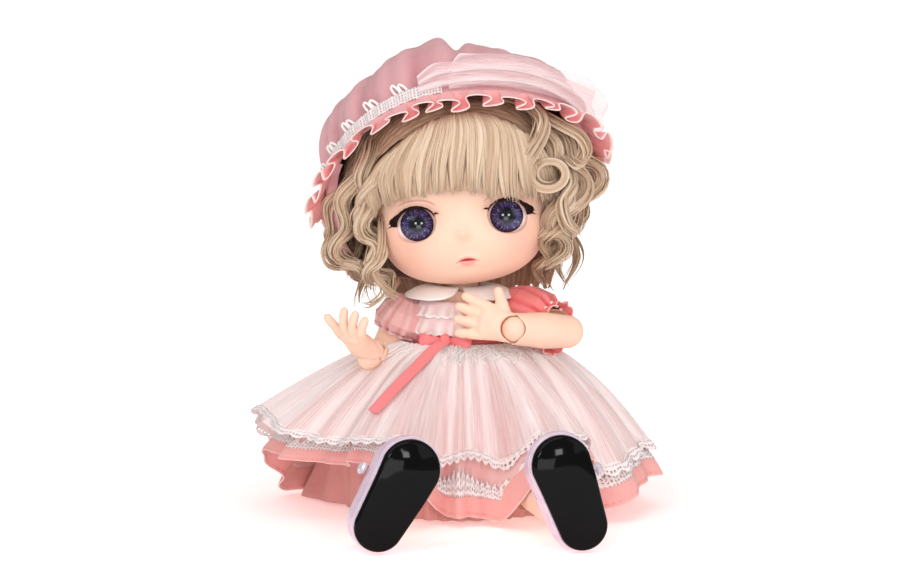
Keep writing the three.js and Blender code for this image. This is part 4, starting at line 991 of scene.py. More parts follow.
@dataclass
class Head:
    """The head: a rounded shell with a small nose, set-in eyes, painted lips and lash lines."""

    width: float = 29.5
    depth: float = 28.0
    crown: float = 35.0
    chin: float = 27.0
    fullness: float = 2.5
    pivot: Triple = (0.0, 3.0, -19.0)
    roll: float = -5.6
    nod: float = -8.0
    eye: Pair = (15.5, -6.0)
    opening: Pair = (6.3, 5.5)
    eyeball: float = 9.5
    iris: float = 5.55
    mouth: Pair = (0.6, -18.7)

    def world(self, local: Array) -> Array:
        """Carries points from the head's frame to the doll's, about the neck's top."""
        return joint_place("head_turn") + self.aimed(local - np.array(self.pivot))

    def aimed(self, direction: Array) -> Array:
        """Turns a direction from the head's own frame to the doll's: nod, then roll."""
        return direction @ (turn((0, 1, 0), self.roll) @ turn((1, 0, 0), self.nod)).T

    def shell(self, around: Number, above: Number, off: Number = 0.0) -> Array:
        """A point of the plain head, where its parts' powers over the half sizes add up to one.

        Args:
            around: degrees from straight ahead.
            above: degrees above level.
            off: distance out of the surface.

        Returns:
            Points in the head's own frame.
        """
        way = aim(around, above)
        tall = np.where(way[..., 2] > 0, self.crown, self.chin)
        size = vec(self.width, self.depth, tall)
        reach = np.sum(np.abs(way / size) ** self.fullness, -1) ** (-1 / self.fullness)
        return way * (reach + off)[..., None]

    def eye_round(self, x: Array, z: Array) -> tuple[Array, Array]:
        """How far out a point lies in the nearer eye's opening, 1 at its edge, and its angle."""
        across, up = (np.abs(x) - self.eye[0]) / self.opening[0], (z - self.eye[1]) / self.opening[1]
        return (np.abs(across) ** 2.2 + np.abs(up) ** 2.2) ** (1 / 2.2), np.degrees(np.arctan2(up, across))

    def lip_lines(self, x: Array) -> tuple[Array, Array]:
        """The mouth's upper and lower line: an arch, and a flat line that closes it."""
        top = self.mouth[1] - 1.2 * ((x - self.mouth[0]) / 3.7) ** 2
        return top, np.minimum(top - 0.2, self.mouth[1] - 0.8)

    def features(self, base: Array) -> Array:
        """How far the face stands out of the plain head: bells for its swells and hollows.

        Args:
            base: points of the plain head.

        Returns:
            The distances outwards.
        """
        x, y, z = np.moveaxis(base, -1, 0)
        apart = np.abs(x)
        top, low = self.lip_lines(x)
        lips = bell((x - self.mouth[0]) / 3.0, 1.0)
        lift = 1.5 * bell(hypot(x, (z + 10.4) * 0.95), 2.3) + 0.3 * bell(hypot(x / 1.6, (z + 6.0) / 4.0), 1.0)
        lift = lift + 0.55 * lips * bell(z - top - 0.7, 0.8) + 0.85 * lips * bell(z - low + 0.9, 0.9)
        lift = lift + 0.9 * bell(hypot(x / 6.5, (z + 25.0) / 3.2), 1.0)
        lift = lift + 0.8 * bell(hypot(apart - 17.5, z + 15.5), 7.5)
        lift = lift - 1.9 * bell(hypot((apart - 10.5) / 6.0, (z + 3.0) / 6.5), 1.0)
        lift = lift - 0.5 * bell(hypot((x - self.mouth[0]) / 5.0, (z + 22.2) / 1.4), 1.0)
        return np.where(y < 0, lift, 0.0)

    def skin_at(self, x: Number, z: Number, off: Number = 0.0) -> Array:
        """The point of the modelled face in front of a place in the face's own plane.

        Args:
            x: places across the face.
            z: heights.
            off: distance out of the skin.

        Returns:
            Points in the head's own frame.
        """
        x, z = np.broadcast_arrays(np.asarray(x, float), np.asarray(z, float))
        tall = np.where(z > 0, self.crown, self.chin)
        left = clip(1 - np.abs(x / self.width) ** self.fullness - np.abs(z / tall) ** self.fullness, 0.001, 1)
        base = vec(x, -self.depth * left ** (1 / self.fullness), z)
        return base + unit(base) * (self.features(base) + off)[..., None]

    def paint(self, base: Array) -> dict[str, Array]:
        """The painted masks: blush, lips, mouth and the lines round the eyes.

        Args:
            base: points of the plain head.

        Returns:
            A share for each point, by mask.
        """
        x, y, z = np.moveaxis(base, -1, 0)
        front = (y < 0).astype(float)
        apart = np.abs(x)
        top, low = self.lip_lines(x)
        side = np.abs(x - self.mouth[0])
        open_ = smooth((top - z) / 0.2 + 0.5) * smooth((z - low) / 0.2 + 0.5) * smooth((4.15 - side) / 0.5)
        upper = (
            smooth((z - low) / 0.4) * smooth((top + 1.15 - 0.2 * side - z) / 0.7) * smooth((4.0 - side) / 1.2)
        )
        lower = (
            smooth((low + 0.4 - z) / 0.4) * smooth((z - low + 1.9 - 0.12 * side**2) / 1.1)
            * smooth((3.6 - side) / 1.4)
        )
        out, angle = self.eye_round(x, z)
        crease = (
            bell(out - 1.42 - 0.04 * cos(radians(angle - 90)), 0.05) * smooth((50 - np.abs(angle - 96)) / 22)
        )
        lower_lid = 0.42 * bell(out - 1.05, 0.05) * smooth((62 - np.abs(angle + 70)) / 50)
        upper_lid = 0.3 * bell(out - 1.12, 0.2) * smooth((90 - np.abs(angle - 90)) / 60)
        blush = 0.34 * bell(hypot(apart - 18.6, z + 15.5), 6.5) + 0.16 * bell(hypot(x - 0.3, z + 11.0), 2.2)
        blush = blush + 0.12 * bell(hypot(x / 7.0, (z + 26.5) / 3.0), 1.0)
        blush = blush + 0.16 * bell(out - 1.2, 0.35)
        return {
            "blush": clip(blush, 0, 1) * front,
            "lip": clip(0.55 * upper + 0.62 * lower, 0, 1) * front,
            "mouth": open_ * front,
            "crease": clip(0.6 * crease + lower_lid + upper_lid, 0, 1) * front,
        }

    def build_shell(self) -> None:
        """The whole head over azimuth and elevation, pressed in at eyes and neck."""
        around = np.concatenate(
            [linspace(-180, -52, 34)[:-1], linspace(-52, 52, 216), linspace(52, 180, 34)[1:]]
        )
        above = np.concatenate(
            [linspace(-90, -56, 16)[:-1], linspace(-56, 30, 180), linspace(30, 90, 22)[1:]]
        )
        e, a = lattice(above, around)
        base = self.shell(a, e)
        points = base + unit(base) * self.features(base)[..., None]
        out, _ = self.eye_round(base[..., 0], base[..., 2])
        pit = smooth((1.0 - out) / 0.07 + 0.35) * (base[..., 1] < 0)
        points[..., 1] += 7.5 * pit
        near = hypot(base[..., 0], base[..., 1] - self.pivot[1])
        bowl = (1 - smooth((near - 8.2) / 1.5)) * (base[..., 2] < -10)
        points[..., 2] = mix(points[..., 2], -11.5, bowl)
        add_piece(
            "face_shell", [Patch(self.world(points), masks=self.paint(base))], "head", "skin", "skin",
            ["head_shell", "head_cap"],
        )

    def gaze(self, side: Side) -> tuple[Array, Array]:
        """An eyeball's centre and the direction that it looks in, in the head's own frame."""
        look, apex = aim(3.0 * side.sign + 2.0, 3.0), self.skin_at(side.sign * self.eye[0], self.eye[1])
        return apex + vec(0.0, 1.3, 0.0) - look * self.eyeball, look

    def build_eye(self, side: Side) -> None:
        """A white eyeball and a domed iris: rings about the line of sight.

        Args:
            side: which eye.
        """
        centre, look = self.gaze(side)
        wide = unit(np.cross(UP, look))
        tall = np.cross(look, wide)
        glass = math.degrees(math.asin(self.iris / self.eyeball))
        for name, reach, lift, rows, slot, finish, node in (
            ("eye_white", 100.0, 0.0, 40, "eye_white", "eye_white", "eye"),
            ("eye_glass", glass, 0.38, 24, "iris", "iris_glass", "iris"),
        ):
            out, spin = lattice(radians(linspace(0, reach, rows)), linspace(0, TURN, 61))
            share = out / math.radians(reach)
            dome = self.eyeball + lift * (1.35 - share**2) / 1.35
            local = centre + dome[..., None] * ring(out, look, ring(spin, wide, tall))
            disc = vec(share * cos(spin), share * sin(spin))
            add_piece(
                f"{name}_{side.tag}", [Patch(self.world(local), disc, inside=self.world(centre))], "head",
                slot, finish, [f"{node}_{side.tag}"],
            )

    def build_lash(self, side: Side) -> None:
        """A lash line on the opening's upper edge, thicker outwards, with a wing and spikes.

        Args:
            side: which eye.
        """
        along = steps(84)
        angle = radians(mix(160.0, -2.0, along))
        wing = smooth((along - 0.7) / 0.3)
        thick = mix(0.5, 1.15, smooth(along / 0.6)) + 1.4 * wing * (1 - 0.8 * smooth((along - 0.9) / 0.1))
        thick = thick * smooth((along + 0.02) / 0.07) + 0.12 * np.abs(sin(along * 34)) * smooth(along / 0.3)
        w, _ = lattice(steps(7), along)
        x = side.sign * (self.eye[0] + (self.opening[0] * 0.97 + w * thick) * cos(angle) + w * wing * 0.7)
        z = self.eye[1] + (self.opening[1] * 0.96 + w * thick * 0.85) * sin(angle) + 0.55 * wing * w
        lift = 0.12 + 0.5 * sin(pi * w) ** 0.7 * mix(0.5, 1.0, along)
        patches = [Patch(self.world(self.skin_at(x, z, lift)), inside=self.world(vec(0.0, 10.0, 0.0)))]
        run = steps(12)
        for start, heading, size in ((6, -14, 2.0), (14, 4, 1.9), (152, 166, 1.9)):
            a, h = math.radians(start), math.radians(heading)
            sx = self.eye[0] + self.opening[0] * 1.12 * math.cos(a) + run * size * math.cos(h)
            sz = self.eye[1] + self.opening[1] * 1.12 * math.sin(a) + run * size * math.sin(h) - 0.5 * run**2
            path = self.skin_at(side.sign * sx, sz, 0.4 + 0.6 * run)
            patches.append(tube(self.world(path), 0.42 * (1 - 0.95 * run), 6))
        add_piece(f"lash_line_{side.tag}", patches, "head", "lash", "lash_paint", [f"lash_{side.tag}"])

    def build(self) -> None:
        """Builds and dresses the head."""
        self.build_shell()
        for side in Side:
            self.build_eye(side)
            self.build_lash(side)


CURL_GUIDES = {
    Side.RIGHT: (
        ((27, -14, 24), (31, -15, 10), (33, -15, -2), (30, -16, -11), (32, -15, -20), (28, -16, -27)),
        ((26, -8, 27), (34, -9, 13), (39, -9, 1), (42, -9, -9), (39, -10, -17), (33, -12, -25)),
        ((27, -3, 27), (36, -3, 13), (42, -2, 1), (46, -2, -9), (42, -4, -16), (36, -6, -22)),
        ((26, 4, 24), (36, 5, 10), (42, 6, -3), (42, 6, -14), (35, 4, -23)),
        ((25, 10, 22), (34, 12, 8), (39, 13, -6), (37, 11, -18), (30, 8, -27)),
        ((29, -10, 14), (32, -11, 0), (31, -12, -12), (29, -11, -21), (24, -12, -28)),
        ((29, 8, 2), (31, 9, -10), (29, 8, -21), (25, 6, -31)),
    ),
    Side.LEFT: (
        ((27, -14, 24), (33, -15, 12), (34, -14, 1), (31, -15, -9), (32, -14, -18), (28, -14, -26)),
        ((26, -8, 27), (37, -9, 15), (41, -9, 4), (35, -9, -8), (31, -10, -18), (30, -12, -27)),
        ((28, -3, 27), (40, -3, 16), (46, -2, 5), (39, -2, -6), (32, -4, -16), (30, -6, -25)),
        ((26, 4, 24), (39, 5, 13), (45, 6, 3), (38, 6, -8), (31, 4, -19), (28, 3, -27)),
        ((25, 10, 22), (35, 12, 9), (39, 13, -4), (33, 11, -16), (27, 8, -26)),
        ((29, -10, 14), (32, -11, 2), (30, -12, -10), (27, -11, -19), (25, -12, -27)),
        ((29, 8, 2), (30, 9, -10), (27, 8, -21), (24, 6, -31)),
    ),
}


@dataclass
class Wig:
    """The wig: a scalp, a combed fringe and clumps of locks, each a flat tapering profile on a path."""

    head: Head
    seed: int = 11
    root: float = 3.0
    fringe_half: float = 76.0
    fringe_start: float = 52.0
    fringe_low: float = 6.0
    lock_steps: int = 30

    def __post_init__(self) -> None:
        """Starts the wig's own row of random draws."""
        self.random = np.random.default_rng(self.seed)

    def lock(
        self, local: Array, width: float, thin: float, shade: float = 0.0, across: Any = None,
        blunt: float = 3.2,
    ) -> Patch:
        """One lock: its width lies along the head, and tapers to both ends, slower at the root.

        Args:
            local: the path in the head's own frame.
            width: the half width in millimetres.
            thin: thickness as a share of the width.
            shade: how much darker the lock is for lying under others.
            across: the direction of its width, where it isn't along the head.
            blunt: how late it tapers to its tip.

        Returns:
            The lock's patch with its strand coordinates and masks.
        """
        share = steps(len(local))
        along = unit(np.gradient(local, axis=0))
        outward = unit(local * vec(1.0, 1.0, 0.35))
        wide = np.cross(outward, along) if across is None else np.asarray(across, float)
        taper = smooth(share / 0.12 + 0.25) * clip(1 - share**blunt, 0.04, 1) ** 0.8
        patch = tube(
            self.head.world(local), width * taper, 6 if width > 0.5 else 4, thin, self.head.aimed(unit(wide))
        )
        patch.uv = patch.uv + self.random.uniform(0, 300, 2)
        rows = np.concatenate([[0.0], share, [1.0]])[:, None]
        whole = patch.points.shape[:2]
        # painted shade: darker at the root, where it goes under other hair, plus shade for lying under others
        patch.masks["root"] = np.broadcast_to(0.5 * (1 - smooth(rows / 0.2)) + shade, whole)
        patch.masks["tint"] = np.full(whole, self.random.uniform(0.15, 0.9))
        return patch

    def fringe_line(self, around: Number, share: Array) -> tuple[Array, Array]:
        """How fringe hair lies: from an arc above the brow it fans out and falls to a brow line.

        Args:
            around: degrees from straight ahead where it ends.
            share: how far it has run from root to end.

        Returns:
            Degrees from straight ahead and degrees above level.
        """
        brow = (
            (-110, -30), (-76, -18), (-50, -5), (-30, -1.5), (-10, 0), (5, 0), (13, -2.5), (24, -6.5),
            (58, -9), (80, -24), (110, -34),
        )
        low = self.fringe_low + profile(brow, around)[0] + 0.7 * sin(0.47 * around + 0.6)
        high = self.fringe_start - 15.0 * (np.minimum(np.abs(around - 2), 76) / 50) ** 2
        sweep = mix(0.7 * around + 5.0, around, smooth(share / 0.75))
        wave = (
            (1.6 + 2.2 * smooth((around - 8) / 14)) * sin(4.4 * share + 0.04 * around) * smooth(share / 0.4)
        )
        return sweep + wave, mix(high, low, share**1.1)

    def fringe_rise(self, share: Array) -> Array:
        """How far the fringe stands off the head: it springs out and comes in at the brow."""
        return self.root + 0.4 + 3.7 * sin(pi * clip(share, 0, 0.97) ** 0.7) ** 0.8

    def fringe_lock(self, around: float, lift: float, end: float, width: float, shade: float) -> Patch:
        """A lock of the fringe, drawn a little to its neighbours at its end.

        Args:
            around: degrees from straight ahead where it ends.
            lift: how far it lies off the layer below.
            end: how many degrees higher it ends than its neighbours.
            width: its half width.
            shade: how much painted shade it gets for lying under others.

        Returns:
            The lock's patch.
        """
        share = steps(self.lock_steps)
        clump = 11.0 * np.round(around / 11.0)
        sweep, above = self.fringe_line(around, share)
        sweep = sweep + 0.34 * (clump - around) * smooth((share - 0.4) / 0.6)
        local = self.head.shell(sweep, above + end * share**2, self.fringe_rise(share) + lift)
        return self.lock(local, width, 0.22 if width > 0.5 else 0.8, shade, None, 5.0)

    def under_fringe(self) -> Patch:
        """The combed hair that fringe locks lie on, one surface from temple to temple.

        Returns:
            The surface's patch.
        """
        share, around = lattice(steps(60), linspace(-108, 108, 300))
        sweep, above = self.fringe_line(around, share)
        strand = 0.3 * cos(0.571 * around) * smooth((share - 0.3) / 0.6) + 0.1 * cos(4.7 * around + 1)
        tuck = 0.25 + 1.2 * smooth((share - 0.86) / 0.14)
        local = self.head.shell(sweep, above + 1.8 * share**2, self.fringe_rise(share) - tuck + strand)
        # root paints shade near the top, under the cap and the locks
        masks = {"root": 0.55 * (1 - smooth(share / 0.3)) + 0.04, "tint": 0.5 + 0.3 * cos(2.3 * around)}
        uv = vec(around * 0.58, share * 40)
        return Patch(self.head.world(local), uv, masks, self.head.world(CENTRE))

    def top_hair(self) -> Patch:
        """The hair above the fringe, combed sideways from the parting.

        Returns:
            The surface's patch.
        """
        share, around = lattice(steps(40), linspace(-124, 124, 240))
        low = self.fringe_start - 6.0 - 15.0 * (np.minimum(np.abs(around - 2), 90) / 50) ** 2
        slope = 20.0 * cos(radians(around - 22))
        ripple = 0.14 * cos(1.3 * (90 * share - slope)) + 0.1 * cos(3.1 * (90 * share - slope))
        full = 8.6 * smooth((np.abs(around) - 58) / 36) * (1 - share) ** 0.7
        local = self.head.shell(around, mix(low, 88.0, share), self.root + 0.9 + ripple + full)
        # root paints shade over all of it, under the fringe and the cap
        masks = {"root": 0.3, "tint": 0.5 + 0.3 * cos(90 * share - slope)}
        uv = vec((90 * share - slope) * 0.5, around * 0.5)
        return Patch(self.head.world(local), uv, masks, self.head.world(CENTRE))

    def build_fringe(self) -> None:
        """The fringe: top hair, a combed surface, flat locks on it and a layer of fine strands."""
        locks = [self.top_hair(), self.under_fringe()]
        # count, lift, half width, painted shade for lying under others (the fine top layer a little lighter), spread
        # of the ends
        layers = ((46, -0.1, 1.8, 0.0, 1.0), (460, 0.16, 0.26, -0.05, 2.2))
        for count, lift, width, shade, spread in layers:
            for around in linspace(-self.fringe_half, self.fringe_half, count):
                jitter, rise, end = self.random.normal(0, 1, 3)
                place, off, short = around + 1.2 * jitter, lift + 0.14 * rise, spread * (0.5 * end - 0.25)
                locks.append(self.fringe_lock(place, off, short, width, shade))
        add_piece("fringe_locks", locks, "head", "hair", "mohair", ["fringe"])

    def clump(
        self, guide: Sequence[Sequence[float]], count: int, girth: float, wave: float, turns: float
    ) -> list[Patch]:
        """A clump that waves together: a full core on a helix about the guide, and locks over it.

        Args:
            guide: points of the clump's middle, in the head's own frame.
            count: the number of locks.
            girth: how far locks lie from the middle.
            wave: the helix's radius.
            turns: the helix's turns from root to tip.

        Returns:
            The locks' patches.
        """
        path = through(guide, self.lock_steps + 12)
        share = steps(len(path))
        along = unit(np.gradient(path, axis=0))
        wide = unit(np.cross(along, vec(0.2, 1.0, 0.1)))
        deep = np.cross(along, wide)
        start = self.random.uniform(0, TURN)
        body = girth * (1 - 0.62 * share**1.5)
        locks = []
        for index in range(count + 1):
            spin = start + turns * TURN * share**0.9 + self.random.normal(0, 0.16)
            swell = wave * smooth(share / 0.3) * self.random.uniform(0.85, 1.15)
            place, heading = math.sqrt(self.random.uniform(0.45, 1.1)), self.random.uniform(0, TURN)
            if index == 0:
                place = 0.0
            side = swell * cos(spin) + place * body * cos(heading + 0.9 * share)
            back = swell * sin(spin) + place * body * sin(heading + 0.9 * share)
            keep = int(len(path) * self.random.uniform(0.86, 1.0))
            local = (path + side[:, None] * wide + back[:, None] * deep)[:keep]
            if index == 0:
                # the core gets painted shade for lying under the locks
                locks.append(self.lock(local, 0.86 * girth, 0.9, 0.2, None, 1.8))
            elif 3 * index < count:
                locks.append(self.lock(local, self.random.uniform(0.9, 1.7), 0.26, 0.0))
            else:
                locks.append(self.lock(local, self.random.uniform(0.2, 0.45), 0.8, 0.0))
        return locks

    def build_curls(self, side: Side) -> None:
        """The side hair: wavy clumps from the cap to the jaw, and a rolled curl on the left.

        Args:
            side: which side of the head.
        """
        locks = []
        for guide in CURL_GUIDES[side]:
            locks += self.clump(
                np.array(guide, float) * vec(side.sign, 1, 1), count=34, girth=3.6, wave=2.3, turns=2.9
            )
        locks += self.rolled_curl() if side is Side.LEFT else self.flicks()
        add_piece(f"side_curls_{side.tag}", locks, "head", "hair", "mohair", [f"hair_{side.tag}"])

    def rolled_curl(self) -> list[Patch]:
        """A spiral of locks round a hollow, the S-shaped lock that runs to it, and a swirl.

        Returns:
            The locks' patches.
        """
        share = steps(46)
        locks = []
        for k in range(9):
            spin = 1.9 + share * TURN * 1.6
            reach = mix(6.0, 3.0, share) + 0.8 * (k % 3)
            depth = -26.5 + 1.15 * k + 1.2 * share
            local = vec(30.5 + reach * cos(spin), depth, 6.5 + 0.85 * reach * sin(spin))
            locks.append(self.lock(local, 1.0, 0.8, 0.0, (0.0, 1.0, 0.0)))
        parted = [
            (12, -10, 36), (21, -14, 33), (27, -19, 29), (30, -23, 24), (28, -26, 18), (23, -27, 11),
            (21, -27, 4),
        ]
        swirl = [(24, -10, 31), (34, -15, 24), (41, -15, 19), (43, -16, 13), (40, -18, 9), (36, -20, 12)]
        fall = [(36, -14, 10), (38, -18, 3), (34, -20, -3), (35, -18, -10), (38, -16, -14)]
        for guide, spread in ((parted, 1.5), (swirl, 1.3), (fall, 1.4)):
            for index in range(34):
                drift = self.random.normal(0, spread, 3) * vec(1.0, 0.5, 0.6)
                width = self.random.uniform(0.8, 1.5) if index < 12 else self.random.uniform(0.2, 0.4)
                locks.append(self.lock(through(np.array(guide, float) + drift, 34), width, 0.35))
        return locks

    def flicks(self) -> list[Patch]:
        """Loose ends on the right: a thin flick turned under and a lower lock by the jaw.

        Returns:
            The locks' patches.
        """
        locks = []
        flick = [
            (-30, -14, -8), (-33, -15, -17), (-30, -16, -23), (-29, -16, -28), (-33, -15, -31),
            (-36, -14, -31),
        ]
        jaw = [(-27, -16, -2), (-28, -17, -12), (-31, -16, -20), (-28, -17, -26), (-24, -18, -29.5)]
        for guide, width, count in ((flick, 0.5, 5), (jaw, 0.8, 9)):
            for _ in range(count):
                drift = self.random.normal(0, 0.6, 3)
                locks.append(self.lock(through(np.array(guide) + drift, 34), width, 0.45))
        return locks

    def build_back(self) -> None:
        """The back hair: clumps that follow the head to the nape and hang in waves."""
        locks = []
        for around in linspace(112, 248, 12):
            top, middle = (self.head.shell(around, e, off) for e, off in ((34.0, 3.5), (2.0, 7.5)))
            outward = aim(around, 0.0)
            tip = np.array([middle[0], middle[1], -34.0]) + outward * self.random.uniform(-2, 1.5)
            hang = np.array([middle[0], middle[1], -16.0]) + outward
            locks += self.clump([top, middle, hang, tip], count=11, girth=3.6, wave=2.4, turns=2.2)
        share, around = lattice(steps(30), linspace(98, 262, 120))
        curtain = self.head.shell(around, mix(14.0, -4.0, smooth(share / 0.5)), 4.6 + 0.5 * cos(0.9 * around))
        curtain[..., 2] = mix(curtain[..., 2], -30.5 - 1.2 * cos(0.5 * around), share**1.2)
        curtain[..., :2] *= (1 - 0.2 * share**2)[..., None]
        # root paints shade over the curtain, deeper towards its lower edge
        masks = {"root": 0.05 + 0.1 * share, "tint": 0.5 + 0.3 * cos(1.7 * around)}
        locks.append(Patch(self.head.world(curtain), vec(around * 0.58, share * 44), masks))
        add_piece("back_curls", locks, "head", "hair", "mohair", ["hair_back"])

    def build_scalp(self) -> None:
        """The wig's base: the head's surface set off a little, from hairline to crown."""
        share, a = lattice(steps(40), linspace(-180, 180, 97))
        low = profile([(0, 24.0), (58, 20.0), (74, -16.0), (110, -34.0), (180, -46.0)], np.abs(a))[0]
        local = self.head.shell(a, mix(low, 90.0, share), 0.5 + 1.7 * smooth(share / 0.2))
        uv = vec(a * 0.5, share * 50)
        # the scalp is painted with shade all over, under all the hair
        add_piece(
            "wig_base", [Patch(self.head.world(local), uv, {"root": 0.5})], "head", "hair", "mohair",
            ["wig_cap"],
        )

    def build(self) -> None:
        """Builds and dresses the wig."""
        self.build_scalp()
        self.build_fringe()
        for side in Side:
            self.build_curls(side)
        self.build_back()


@dataclass
class MobCap:
    """The cap: a gathered puff on a band, a pleated ruffle, lace beading and a sheer trim."""

    head: Head
    width: float = 44.0
    depth: float = 38.0
    height: float = 35.8
    lean: float = 42.5
    middle: Triple = (0.0, 7.0, 13.0)
    waves: int = 28
    ruffle_length: float = 9.6
    flare: float = 3.4
    side_flare: float = 3.6
    slant: float = 0.11

    def spot(self, angle: Number, share: Number, off: Number, rise: Number) -> Array:
        """A point of the cap: an ellipse of this share plus off, at a rise along the leaning axis.

        Args:
            angle: the direction round the band, 0 in front.
            share: the ellipse against the band's own.
            off: distance out of it.
            rise: height along the cap's axis.

        Returns:
            Points in the head's own frame.
        """
        lean = math.radians(self.lean)
        up = np.array([0.0, math.sin(lean), math.cos(lean)])
        back = np.array([0.0, math.cos(lean), -math.sin(lean)])
        side = vec(1.0, 0.0, 0.0)
        angle, share, off, rise = np.broadcast_arrays(angle, share, off, rise)
        across = (self.width * share + off) * sin(angle)
        slant = self.slant * across * np.abs(across) / self.width * (1 - smooth(rise / 24))
        return (
            np.array(self.middle)
            + across[..., None] * side
            + slant[..., None] * UP
            - ((self.depth * share + off) * cos(angle))[..., None] * back
            + rise[..., None] * up
        )

    def gather(self, angle: Array) -> Array:
        """Uneven gathers round the band: three cosines whose counts share no factor."""
        return 0.5 * cos(14 * angle) + 0.32 * cos(23 * angle + 1.3) + 0.26 * cos(37 * angle + 0.4)

    def build_crown(self) -> None:
        """The puff: it swells out of the band and closes on top, pleated below, lobed above."""
        share, angle = lattice(steps(90), full_turn(321))
        a = share * pi / 2
        pleat = self.gather(angle)
        near = np.exp(-2.6 * share)
        lobe = 0.05 * cos(5 * angle + 0.9) + 0.03 * cos(3 * angle - 0.7) + 0.05 * bell(angle + 0.75, 0.5)
        wide = (
            cos(a) ** 0.75 * (1 + 0.1 * sin(2 * a) + lobe * sin(2 * a))
            + 0.05 * pleat * near * smooth(share / 0.08)
        )
        fold = 2.6 * bell(hypot((angle + 0.1) / 0.12, (share - 0.66) / 0.3), 1.0)
        fold = fold - 6.0 * bell(hypot((angle - 0.06) / 0.075, (share - 0.64) / 0.36), 1.0)
        rise = self.height * sin(a) ** 0.9 + fold + 0.5 * pleat * near * sin(2 * a)
        wrinkle = 0.25 * sin(9 * angle + 14 * share) * sin(pi * share)
        local = self.spot(angle, wide, wrinkle, rise)
        local[..., 0] += 0.6 * sin(pi * share)
        # fold is painted shade: in the pleats' hollows near the band, and lightly all over
        masks = {"fold": clip(0.42 - 0.8 * pleat * near - 0.1, 0, 1)}
        made = add_piece(
            "cap_puff", [Patch(self.head.world(local), masks=masks)], "head", "rose_cloth", "rose_cotton",
            ["cap_crown"], thick=0.35,
        )
        sew(made, 300.0, "gathered", "cap_brim_band")

    def build_band(self) -> None:
        """The band under the puff, a strip sewn on edge with a row of stitches."""
        rise, angle = lattice(linspace(0.2, -5.0, 14), full_turn(321))
        swell = 0.5 * sin(pi * (0.2 - rise) / 5.2)
        stitch = 0.12 * np.abs(sin(angle * 90)) * bell(rise + 1.0, 0.25)
        local = self.spot(angle, 1.0, 0.6 + swell - stitch + 0.15 * cos(60 * angle), rise)
        # fold paints shade in the pressed-in stitch row
        made = add_piece(
            "cap_brim_band", [Patch(self.head.world(local), masks={"fold": stitch * 4})], "head",
            "rose_cloth", "rose_cotton", ["cap_band"], thick=0.5,
        )
        sew(made, 265.0, "gathered", "wig_base")

    def build_ruffle(self) -> None:
        """The ruffle flares and waves ever more, leaning so that folds overlap, and the lining."""
        share, turn_ = lattice(steps(22), full_turn(1001))
        phase = self.waves * turn_ + 1.1 * sin(3 * turn_) + 0.8 * sin(7 * turn_ + 1)
        spread = share**0.75
        angle = turn_ + 0.046 * sin(2 * phase) * spread + 0.016 * sin(phase + 1) * spread
        uneven = 0.85 + 0.4 * sin(5 * turn_ + 0.7) * sin(11 * turn_)
        wave = uneven * (cos(phase) + 0.35 * cos(0.5 * phase + 2))
        front = 0.12 + 0.88 * smooth((cos(turn_ - 0.02) + 0.2) / 0.26)
        off = (
            (self.flare + self.side_flare * sin(turn_) ** 2 * front) * share**1.4
            + 2.1 * wave * spread * front
        )
        rise = -3.0 - (self.ruffle_length * share - 1.1 * cos(phase + 0.9) * spread) * front
        local = self.spot(angle, 1.0, 1.3 + off, rise)
        # fold is painted shade in the hollows of the waves; edge is a paler edge
        masks = {
            "fold": clip(0.5 - 0.5 * wave, 0, 1) * smooth(share / 0.5) * 0.72,
            "edge": smooth((share - 0.92) / 0.03),
        }
        made = add_piece(
            "cap_frill", [Patch(self.head.world(local), masks=masks)], "head", "pink_cloth", "ruffle_cotton",
            ["cap_ruffle"], thick=0.3,
        )
        sew(made, 620.0, "gathered", "cap_brim_band")
        share, angle = lattice(steps(20), radians(linspace(62, 298, 160)))
        ends = smooth((118 - np.abs(np.degrees(angle) - 180)) / 40)
        drape = self.spot(
            angle, 1.0, -0.6 + 3.0 * sin(pi * share) - 3.0 * share * ends,
            mix(-2.0, -6.0 - 15.0 * ends, share),
        )
        # fold paints shade on the lining, deeper towards its lower edge
        lining = add_piece(
            "cap_lining", [Patch(self.head.world(drape), masks={"fold": 0.3 * share})], "head", "rose_cloth",
            "rose_cotton", thick=0.3,
        )
        sew(lining, 190.0, "hung", "cap_brim_band")

    def build_beading(self) -> None:
        """Lace beading on the band's right: a scalloped strip and pairs of picot loops."""
        share, angle = lattice(steps(10), radians(linspace(-86, -3, 220)))
        scallop = 0.7 * np.abs(sin(angle * 34))
        rise = mix(-3.8, 0.4 + scallop, share)
        local = self.spot(angle, 1.0, 1.7 + 0.9 * share + 0.2 * cos(angle * 68), rise)
        strip = add_piece(
            "cap_lace", [Patch(self.head.world(local))], "head", "white_cloth", "fine_lace", thick=0.3
        )
        loops = []
        turn_ = linspace(-0.2 * pi, 1.2 * pi, 20)
        for middle in radians([-76, -63, -49, -35, -21]):
            for lean, tall in ((-1, 2.6), (1, 2.0)):
                across = 0.02 * cos(turn_) + 0.028 * lean - 0.024 * sin(turn_)
                lift = 0.8 + tall * (0.55 + sin(turn_))
                path = self.head.world(self.spot(middle + across, 1.0, 2.6 + 0.8 * sin(turn_), lift))
                loops.append(tube(path, 0.42, 8, 0.6))
        picots = add_piece("cap_picots", loops, "head", "white_cloth", "white_cotton")
        sew(strip, 82.0, "gathered", "cap_brim_band", [picots])

